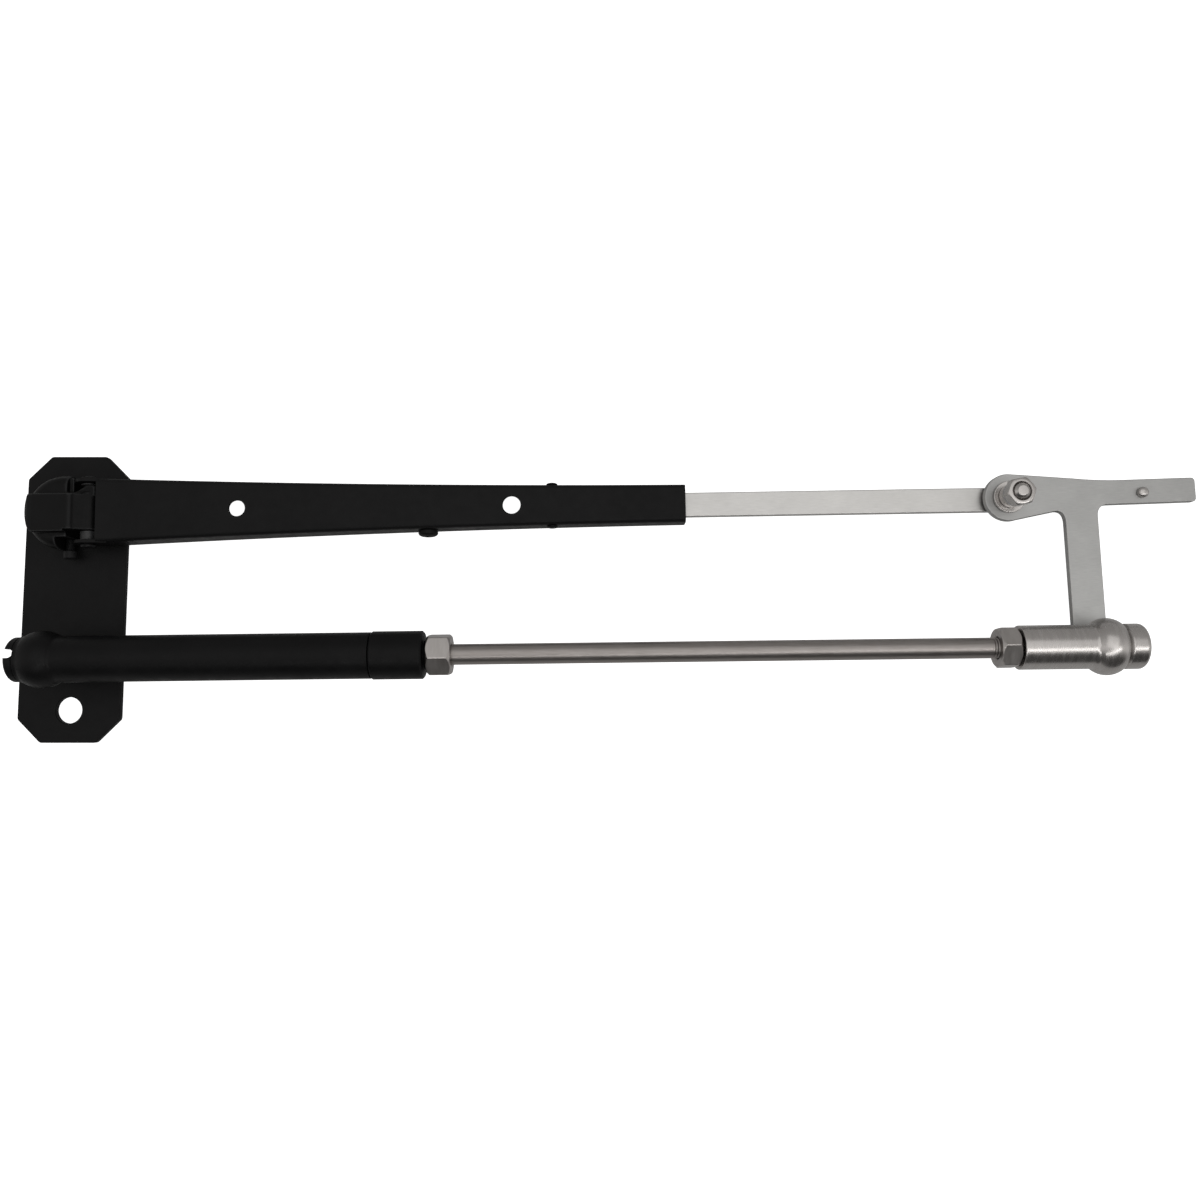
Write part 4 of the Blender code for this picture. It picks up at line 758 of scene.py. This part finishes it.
# ---------------------------------------------------------------- tip pivot
def make_pivot_stack():
    low, high = extent("pivot_bolt", ARM_AT_TIP)
    head = 4.7
    shank = 3.0
    profile = [(low.z, 0.0), (low.z, high.x - 1.4), (low.z + 1.3, high.x - 0.1), (head, high.x)]
    profile += [(head, shank), (19.4, shank)] + threads(19.6, high.z - 0.7, shank, 0.9, 0.35)
    profile += [(high.z, 2.0), (high.z, 0.0)]
    bolt = make("pivot_bolt_threaded", lathe(soften(profile, 0.3), segments=FINE))
    settle(bolt, ARM_AT_TIP, "extension", turned_steel, "bright_stainless", "pivot_bolt")
    looks = (
        ("pivot_spacer", "dark_spacer", nylon, "black_nylon", 0.2),
        ("pivot_washer", "flat_washer", turned_steel, "bright_stainless", 0.3),
        ("pivot_collar", "turned_collar", turned_steel, "bright_stainless", 0.5),
    )
    for node, name, material, slot, soft in looks:
        low, high = extent(node, ARM_AT_TIP)
        shape = ring(BOLT_HOLE_R, high.x, low.z, high.z, soft=soft, segments=TURN)
        settle(make(name, shape), ARM_AT_TIP, "extension", material, slot, node)
    low, high = extent("pivot_lock_washer", ARM_AT_TIP)
    slit = box((-0.4, -8.0, low.z - 1.0), (0.4, -1.0, high.z + 1.0))
    washer = ring(BOLT_HOLE_R, high.x, low.z, high.z, soft=0.2, segments=TURN)
    split = make("split_washer", washer, cuts=[slit])
    settle(split, ARM_AT_TIP, "extension", plated_steel, "spring_steel", "pivot_lock_washer")
    low, high = extent("pivot_nut", ARM_AT_TIP)
    nut = hex_nut("cap_nut", 10.0, low.z, high.z, BOLT_HOLE_R, "Z", radians(10.0), 0.7)
    settle(nut, ARM_AT_TIP, "extension", turned_steel, "bright_stainless", "pivot_nut")


def hex_nut(name, across_flats, start, end, bore, axis, turn, chamfer, counterbore=None):
    """A hexagon whose corners are turned off at both ends, with a countersunk bore."""
    corner_r = across_flats / sqrt(3.0) + 0.05
    face_r = across_flats / 2.0 - 0.15
    turned = [(start, 0.0), (start, face_r), (start + chamfer, corner_r)]
    turned += [(end - chamfer, corner_r), (end, face_r), (end, 0.0)]
    rim = bore + 0.5
    hole = [(start - 1.0, 0.0), (start - 1.0, rim), (start, rim), (start + 0.5, bore)]
    hole += [(end - 0.5, bore), (end, rim), (end + 1.0, rim), (end + 1.0, 0.0)]
    cuts = [lathe(hole, axis, FINE)]
    if counterbore is not None:
        cuts.append(cylinder(counterbore[0], start - 1.0, counterbore[1], axis))
    outline = soften(hexagon(across_flats, turn), 0.35, 3, closed=True)
    return make(name, prism(outline, start, end, axis), keep=lathe(turned, axis, TURN), cuts=cuts, bevel=0.15)


# ---------------------------------------------------------------- T bracket
def make_bracket():
    low, high = extent("t_bracket", BRACKET)
    eye_r = -low.x
    leg = (21.7, 34.5)
    strip = (-4.2, 5.4)
    foot_y = BRACKET_BALL[1]
    eye_start = degrees(atan2(9.25, 1.2))
    eye_end = 360.0 + degrees(atan2(-8.9, 2.6))
    outline = arc((0.0, 0.0), eye_r, eye_start, eye_end, 60)
    outline += curve_to((17.2, -6.3), (leg[0], -5.5), (leg[0], -10.9), 12)
    foot_r = 0.5 * (leg[1] - leg[0])
    outline += arc((leg[0] + foot_r, foot_y), foot_r, 180.0, 360.0, 40)
    outline += curve_to((leg[1], strip[0] - 4.4), (leg[1], strip[0]), (leg[1] + 4.4, strip[0]), 12)
    outline += arc((high.x - 1.5, strip[0] + 1.5), 1.5, -90.0, 0.0, 8)
    outline += arc((high.x - 1.5, strip[1] - 1.5), 1.5, 0.0, 90.0, 8)
    outline += curve_to((44.0, strip[1]), (35.0, strip[1] + 0.05), (26.0, 6.65), 8)
    stud_hole_r, nib_hole_r = 2.9, 1.5
    holes = [cylinder(BOLT_HOLE_R, 0.0, BEYOND)]
    holes.append(cylinder(stud_hole_r, 0.0, BEYOND, centre=(BRACKET_BALL[0], foot_y, 0.0)))
    holes.append(cylinder(nib_hole_r, 0.0, BEYOND, centre=(NIB_X, 0.0, 0.0)))
    bracket = make("tee_bracket", prism(outline, low.z, high.z), cuts=holes, bevel=0.35)
    settle(bracket, BRACKET, "bracket", sheet_steel, "satin_stainless", "t_bracket")
    low, high = extent("blade_nib", BRACKET)
    x = 0.5 * (low.x + high.x)
    flange = 12.9
    profile = [(low.z, 0.0), (low.z, 1.2), (flange, 1.2), (flange, 2.1)]
    profile += curve_to((flange + 0.7, 2.1), (high.z, 2.1), (high.z, 0.0), 10)
    nib = make("blade_pin", lathe(profile, "Z", FINE, (x, 0.0, 0.0)))
    settle(nib, BRACKET, "bracket", turned_steel, "bright_stainless", "blade_nib")


def make_tip_stud():
    place = BRACKET @ Matrix.Translation(Vector(BRACKET_BALL) * MM)
    low, high = extent("tip_ball_stud", place)
    back = low.z + 1.6
    front = back + 3.6
    head = curve_to((low.z, 0.0), (low.z, 4.7), (back, 4.8), 8)
    profile = head + [(back, 2.5), (front, 2.5), (front, 3.2), (front + 0.6, 3.2), (front + 1.4, 2.2)]
    stud = make("tip_stud", lathe(profile + ball_of(high.z, 2.2), segments=FINE))
    settle(stud, place, "bracket", plated_steel, "spring_steel", "tip_ball_stud")


# ---------------------------------------------------------------- idler arm
def swelling(radius, start, end, centre, bulge, curve, steps=40):
    """A turned tube outline that swells to a bulge, drawn with its own curve, with soft feet."""
    middle = bulge - curve
    edge = degrees(atan2(radius - middle, sqrt(curve**2 - (radius - middle) ** 2)))
    swell = [(centre + x, r) for x, r in arc((0.0, middle), curve, 174.0 - edge, edge + 6.0, steps)]
    first = (swell[0][0] - 1.6, radius)
    foot = curve_to(first, (first[0] + 1.1, radius), swell[0], 6)
    last = (swell[-1][0] + 1.6, radius)
    after = curve_to(swell[-1], (last[0] - 1.1, radius), last, 6)
    points = [(start, 0.0), (start, radius)] + foot[:-1] + swell + after[1:]
    return [point for point in points if point[0] < end - 0.05]


def make_idler_tube():
    low, high = extent("idler_tube", IDLER)
    radius = 8.75
    bulge = high.y
    profile = swelling(radius, low.x, high.x, 0.0, bulge, bulge) + [(high.x, radius), (high.x, 0.0)]
    shape = lathe(soften(profile, 0.3), "X")
    reach, half = 5.8, 3.7
    slot = arc((reach - half, 0.0), half, -90.0, 90.0, 20) + arc((half - reach, 0.0), half, 90.0, 270.0, 20)
    cuts = [cylinder(TUBE_BORE_R, low.x - 1.0, high.x + 1.0, "X", segments=TURN)]
    cuts += [box((-BEYOND, -BEYOND, -BEYOND), (BEYOND, BEYOND, low.z)), prism(slot, -BEYOND, 0.0)]
    tube = make("ball_tube", shape, cuts=cuts, bevel=0.2)
    settle(tube, IDLER, "idler", tube_coat, "black_coat", "idler_tube")


def make_idler_plug():
    low, high = extent("idler_end_plug", IDLER)
    rim = -7.7
    reach = high.y
    dome = curve_to((low.x, 0.0), (low.x, reach - 0.8), (low.x + 2.4, reach), 12)
    profile = dome + [(rim - 0.4, reach), (rim, reach - 0.4), (rim, SPIGOT_R)]
    profile += [(high.x, SPIGOT_R), (high.x, 0.0)]
    middle, half = 2.1, 1.7
    end = -7.5 - half
    slot = [(low.x - 1.0, middle - half)] + arc((end, middle), half, -90.0, 90.0, 20)
    slot += [(low.x - 1.0, middle + half)]
    plug = make("slotted_plug", lathe(profile, "X"), cuts=[prism(slot, -12.0, 12.0)], bevel=0.3)
    settle(plug, IDLER, "idler", tube_coat, "black_coat", "idler_end_plug")


def make_collar():
    low, high = extent("tube_collar", IDLER)
    nipple = 5.7
    start, end = 123.7, 143.3
    reach = high.y
    profile = [(low.x, ROD_HOLE_R), (low.x, SPIGOT_R), (start, SPIGOT_R)]
    profile += [(start, reach - 0.5), (start + 0.5, reach)]
    profile += [(end - 0.6, reach), (end, reach - 0.6), (end, nipple - 0.3)]
    profile += threads(end + 0.2, high.x - 0.3, nipple, 1.0, 0.4)
    profile += [(high.x, nipple - 0.8), (high.x, ROD_HOLE_R)]
    collar = make("compression_body", lathe(profile, "X", closed=True))
    settle(collar, IDLER, "idler", tube_coat, "black_coat", "tube_collar")


def make_nuts():
    low, high = extent("compression_nut", IDLER)
    counterbore = (6.0, high.x - 0.85)
    sizes = (low.x, high.x, ROD_HOLE_R, "X", radians(41.0), NUT_CHAMFER)
    nut = hex_nut("gland_nut", NUT_FLATS, *sizes, counterbore)
    settle(nut, IDLER, "idler", nut_steel, "bright_stainless", "compression_nut")
    low, high = extent("rod_lock_nut", IDLER)
    sizes = (low.x, high.x, ROD_HOLE_R, "X", radians(24.0), NUT_CHAMFER)
    nut = hex_nut("jam_nut", NUT_FLATS, *sizes)
    settle(nut, IDLER, "rod", nut_steel, "bright_stainless", "rod_lock_nut")


def make_rod():
    low, high = extent("adjusting_rod", IDLER)
    reach = high.y
    thread_start = 357.0
    profile = [(low.x, 0.0), (low.x, reach), (thread_start, reach)]
    profile += threads(thread_start + 0.3, high.x - 0.5, reach, 1.0, 0.35)
    profile += [(high.x, reach - 0.6), (high.x, 0.0)]
    rod = make("long_rod", lathe(soften(profile, 0.3), "X"))
    settle(rod, IDLER, "rod", rod_steel, "bright_stainless", "adjusting_rod")


def make_socket():
    low, high = extent("tip_socket", IDLER)
    ball = (Vector(extent_centre("tip_ball_stud")) - IDLER.translation).to_2d().length / MM
    radius, bore = 8.35, 6.3
    bulge, curve = high.y, 8.1
    profile = swelling(radius, low.x, high.x, ball, bulge, curve)
    end_r = bulge - curve + sqrt(curve**2 - (high.x - ball) ** 2)
    profile += [(high.x, end_r), (high.x, 0.0)]
    shape = lathe(soften(profile, 0.4), "X")
    bore_start, rod_hole_end = 376.5, 378.0
    cuts = [cylinder(bore, bore_start, high.x + 1.0, "X", segments=TURN)]
    cuts.append(cylinder(ROD_HOLE_R, low.x - 1.0, rod_hole_end, "X"))
    cuts.append(box((ball - BEYOND, -BEYOND, -BEYOND), (ball + BEYOND, BEYOND, low.z)))
    near, far = ball - 7.0, ball - 1.5
    wide_r, narrow_r = 5.4, 3.5
    wide = arc((far, 0.0), wide_r, -90.0, 90.0, 24) + arc((near, 0.0), wide_r, 90.0, 270.0, 24)
    narrow = [(near, -narrow_r)] + arc((ball, 0.0), narrow_r, -90.0, 90.0, 24) + [(near, narrow_r)]
    cuts += [prism(wide, -BEYOND, 0.0), prism(narrow, -BEYOND, 0.0)]
    socket = make("tip_ball_socket", shape, cuts=cuts, bevel=0.2)
    settle(socket, IDLER, "rod", turned_steel, "bright_stainless", "tip_socket")


def extent_centre(node):
    low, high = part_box(node)
    return (low + high) / 2.0


def make_cap():
    low, high = extent("tip_end_plug", IDLER)
    start = 405.2
    spigot = 6.0
    corner_r = 1.9
    reach = high.y
    profile = [(low.x, 0.0), (low.x, spigot), (start, spigot), (start, reach - 1.4), (start + 1.4, reach)]
    profile += arc((high.x - corner_r, reach - corner_r), corner_r, 90.0, 0.0, 10) + [(high.x, 0.0)]
    slot = box((high.x - 2.0, -10.0, -0.8), (high.x + 1.0, 10.0, 0.8))
    cap = make("end_cap", lathe(soften(profile, 0.3), "X"), cuts=[slot], bevel=0.2)
    settle(cap, IDLER, "rod", turned_steel, "bright_stainless", "tip_end_plug")


for maker in (
    make_plate, make_idler_stud, make_head, make_head_screw, make_channel, make_hinge,
    make_arm_fasteners, make_clamp, make_bar, make_spring, make_pivot_stack, make_bracket,
    make_tip_stud, make_idler_tube, make_idler_plug, make_collar, make_nuts, make_rod,
    make_socket, make_cap,
):
    maker()

slots = {part["node"]: part["material_slot"] for part in frame["record"]["subparts"]}
for name, thing in frame["nodes"].items():
    thing.data.materials.clear()
    thing.data.materials.append(NODE_LOOKS[slots[name]])


# ---------------------------------------------------------------- studio
def make_floor():
    """A white floor that throws little light back, so the pieces' low sides stay dark."""
    mesh = bpy.data.meshes.new("floor")
    size = 4.0
    level = -0.0006
    corners = [(-size, -size, level), (size, -size, level), (size, size, level), (-size, size, level)]
    mesh.from_pydata(corners, [], [(0, 1, 2, 3)])
    floor = bpy.data.objects.new("floor", mesh)
    bpy.context.scene.collection.objects.link(floor)
    material, tree, shader = new_material("pale_floor")
    shader.inputs["Base Color"].default_value = (0.5, 0.5, 0.5, 1.0)
    shader.inputs["Roughness"].default_value = 0.9
    shader.inputs["Emission Color"].default_value = (1.0, 1.0, 1.0, 1.0)
    path = tree.nodes.new("ShaderNodeLightPath")
    glow = add_range(tree, path.outputs["Is Camera Ray"], 0.05, 1.0, 0.0, 1.0)
    tree.links.new(glow, shader.inputs["Emission Strength"])
    mesh.materials.append(material)


def make_light(name, place, size, power, target=(0.2, 0.0, 0.01)):
    light = bpy.data.lights.new(name, "AREA")
    light.shape = "RECTANGLE"
    light.size, light.size_y = size
    light.energy = power
    holder = bpy.data.objects.new(name, light)
    holder.location = place
    holder.rotation_euler = (Vector(target) - Vector(place)).to_track_quat("-Z", "Y").to_euler()
    bpy.context.scene.collection.objects.link(holder)


def make_world():
    """A room that is light overhead and behind the object, and dark low down in front of it.

    Straight to the eye it is plain white, like the floor.
    """
    world = bpy.data.worlds.new("studio")
    bpy.context.scene.world = world
    world.use_nodes = True
    tree = world.node_tree
    place = tree.nodes.new("ShaderNodeTexCoord")
    split = tree.nodes.new("ShaderNodeSeparateXYZ")
    tree.links.new(place.outputs["Generated"], split.inputs["Vector"])
    shades = tree.nodes.new("ShaderNodeValToRGB")
    stops = ((0.0, 0.08), (0.2, 0.06), (0.3, 0.35), (0.42, 0.95), (0.52, 0.75), (0.7, 0.5), (1.0, 0.4))
    ramp = shades.color_ramp
    while len(ramp.elements) < len(stops):
        ramp.elements.new(0.5)
    for element, (position, level) in zip(ramp.elements, stops):
        element.position = position
        element.color = (level, level * 0.985, level * 0.97, 1.0)
    half = tree.nodes.new("ShaderNodeMath")
    half.operation = "MULTIPLY_ADD"
    half.inputs[1].default_value = 0.5
    half.inputs[2].default_value = 0.5
    tree.links.new(split.outputs["Y"], half.inputs[0])
    tree.links.new(half.outputs["Value"], shades.inputs["Fac"])
    path = tree.nodes.new("ShaderNodeLightPath")
    seen = tree.nodes.new("ShaderNodeMix")
    seen.data_type = "RGBA"
    seen.inputs["B"].default_value = (1.0, 1.0, 1.0, 1.0)
    tree.links.new(path.outputs["Is Camera Ray"], seen.inputs["Factor"])
    tree.links.new(shades.outputs["Color"], seen.inputs["A"])
    tree.links.new(seen.outputs["Result"], tree.nodes["Background"].inputs["Color"])


def make_camera():
    """Nearly straight above the object, close enough to show its tall pieces leaning outwards."""
    data = bpy.data.cameras.new("camera")
    data.lens = 31.5
    data.sensor_width = 36.0
    data.clip_start = 0.01
    camera = bpy.data.objects.new("camera", data)
    camera.location = (0.20941, -0.03714, 0.41896)
    camera.rotation_euler = (radians(5.0), 0.0, 0.0)
    bpy.context.scene.collection.objects.link(camera)
    bpy.context.scene.camera = camera


make_floor()
make_light("top_panel", place=(0.3, 0.3, 1.2), size=(1.3, 1.1), power=2.4)
make_light("strip_panel", place=(0.35, -0.38, 0.75), size=(1.3, 0.12), power=1.7)
make_world()
make_camera()
bpy.context.scene.view_settings.view_transform = "Standard"
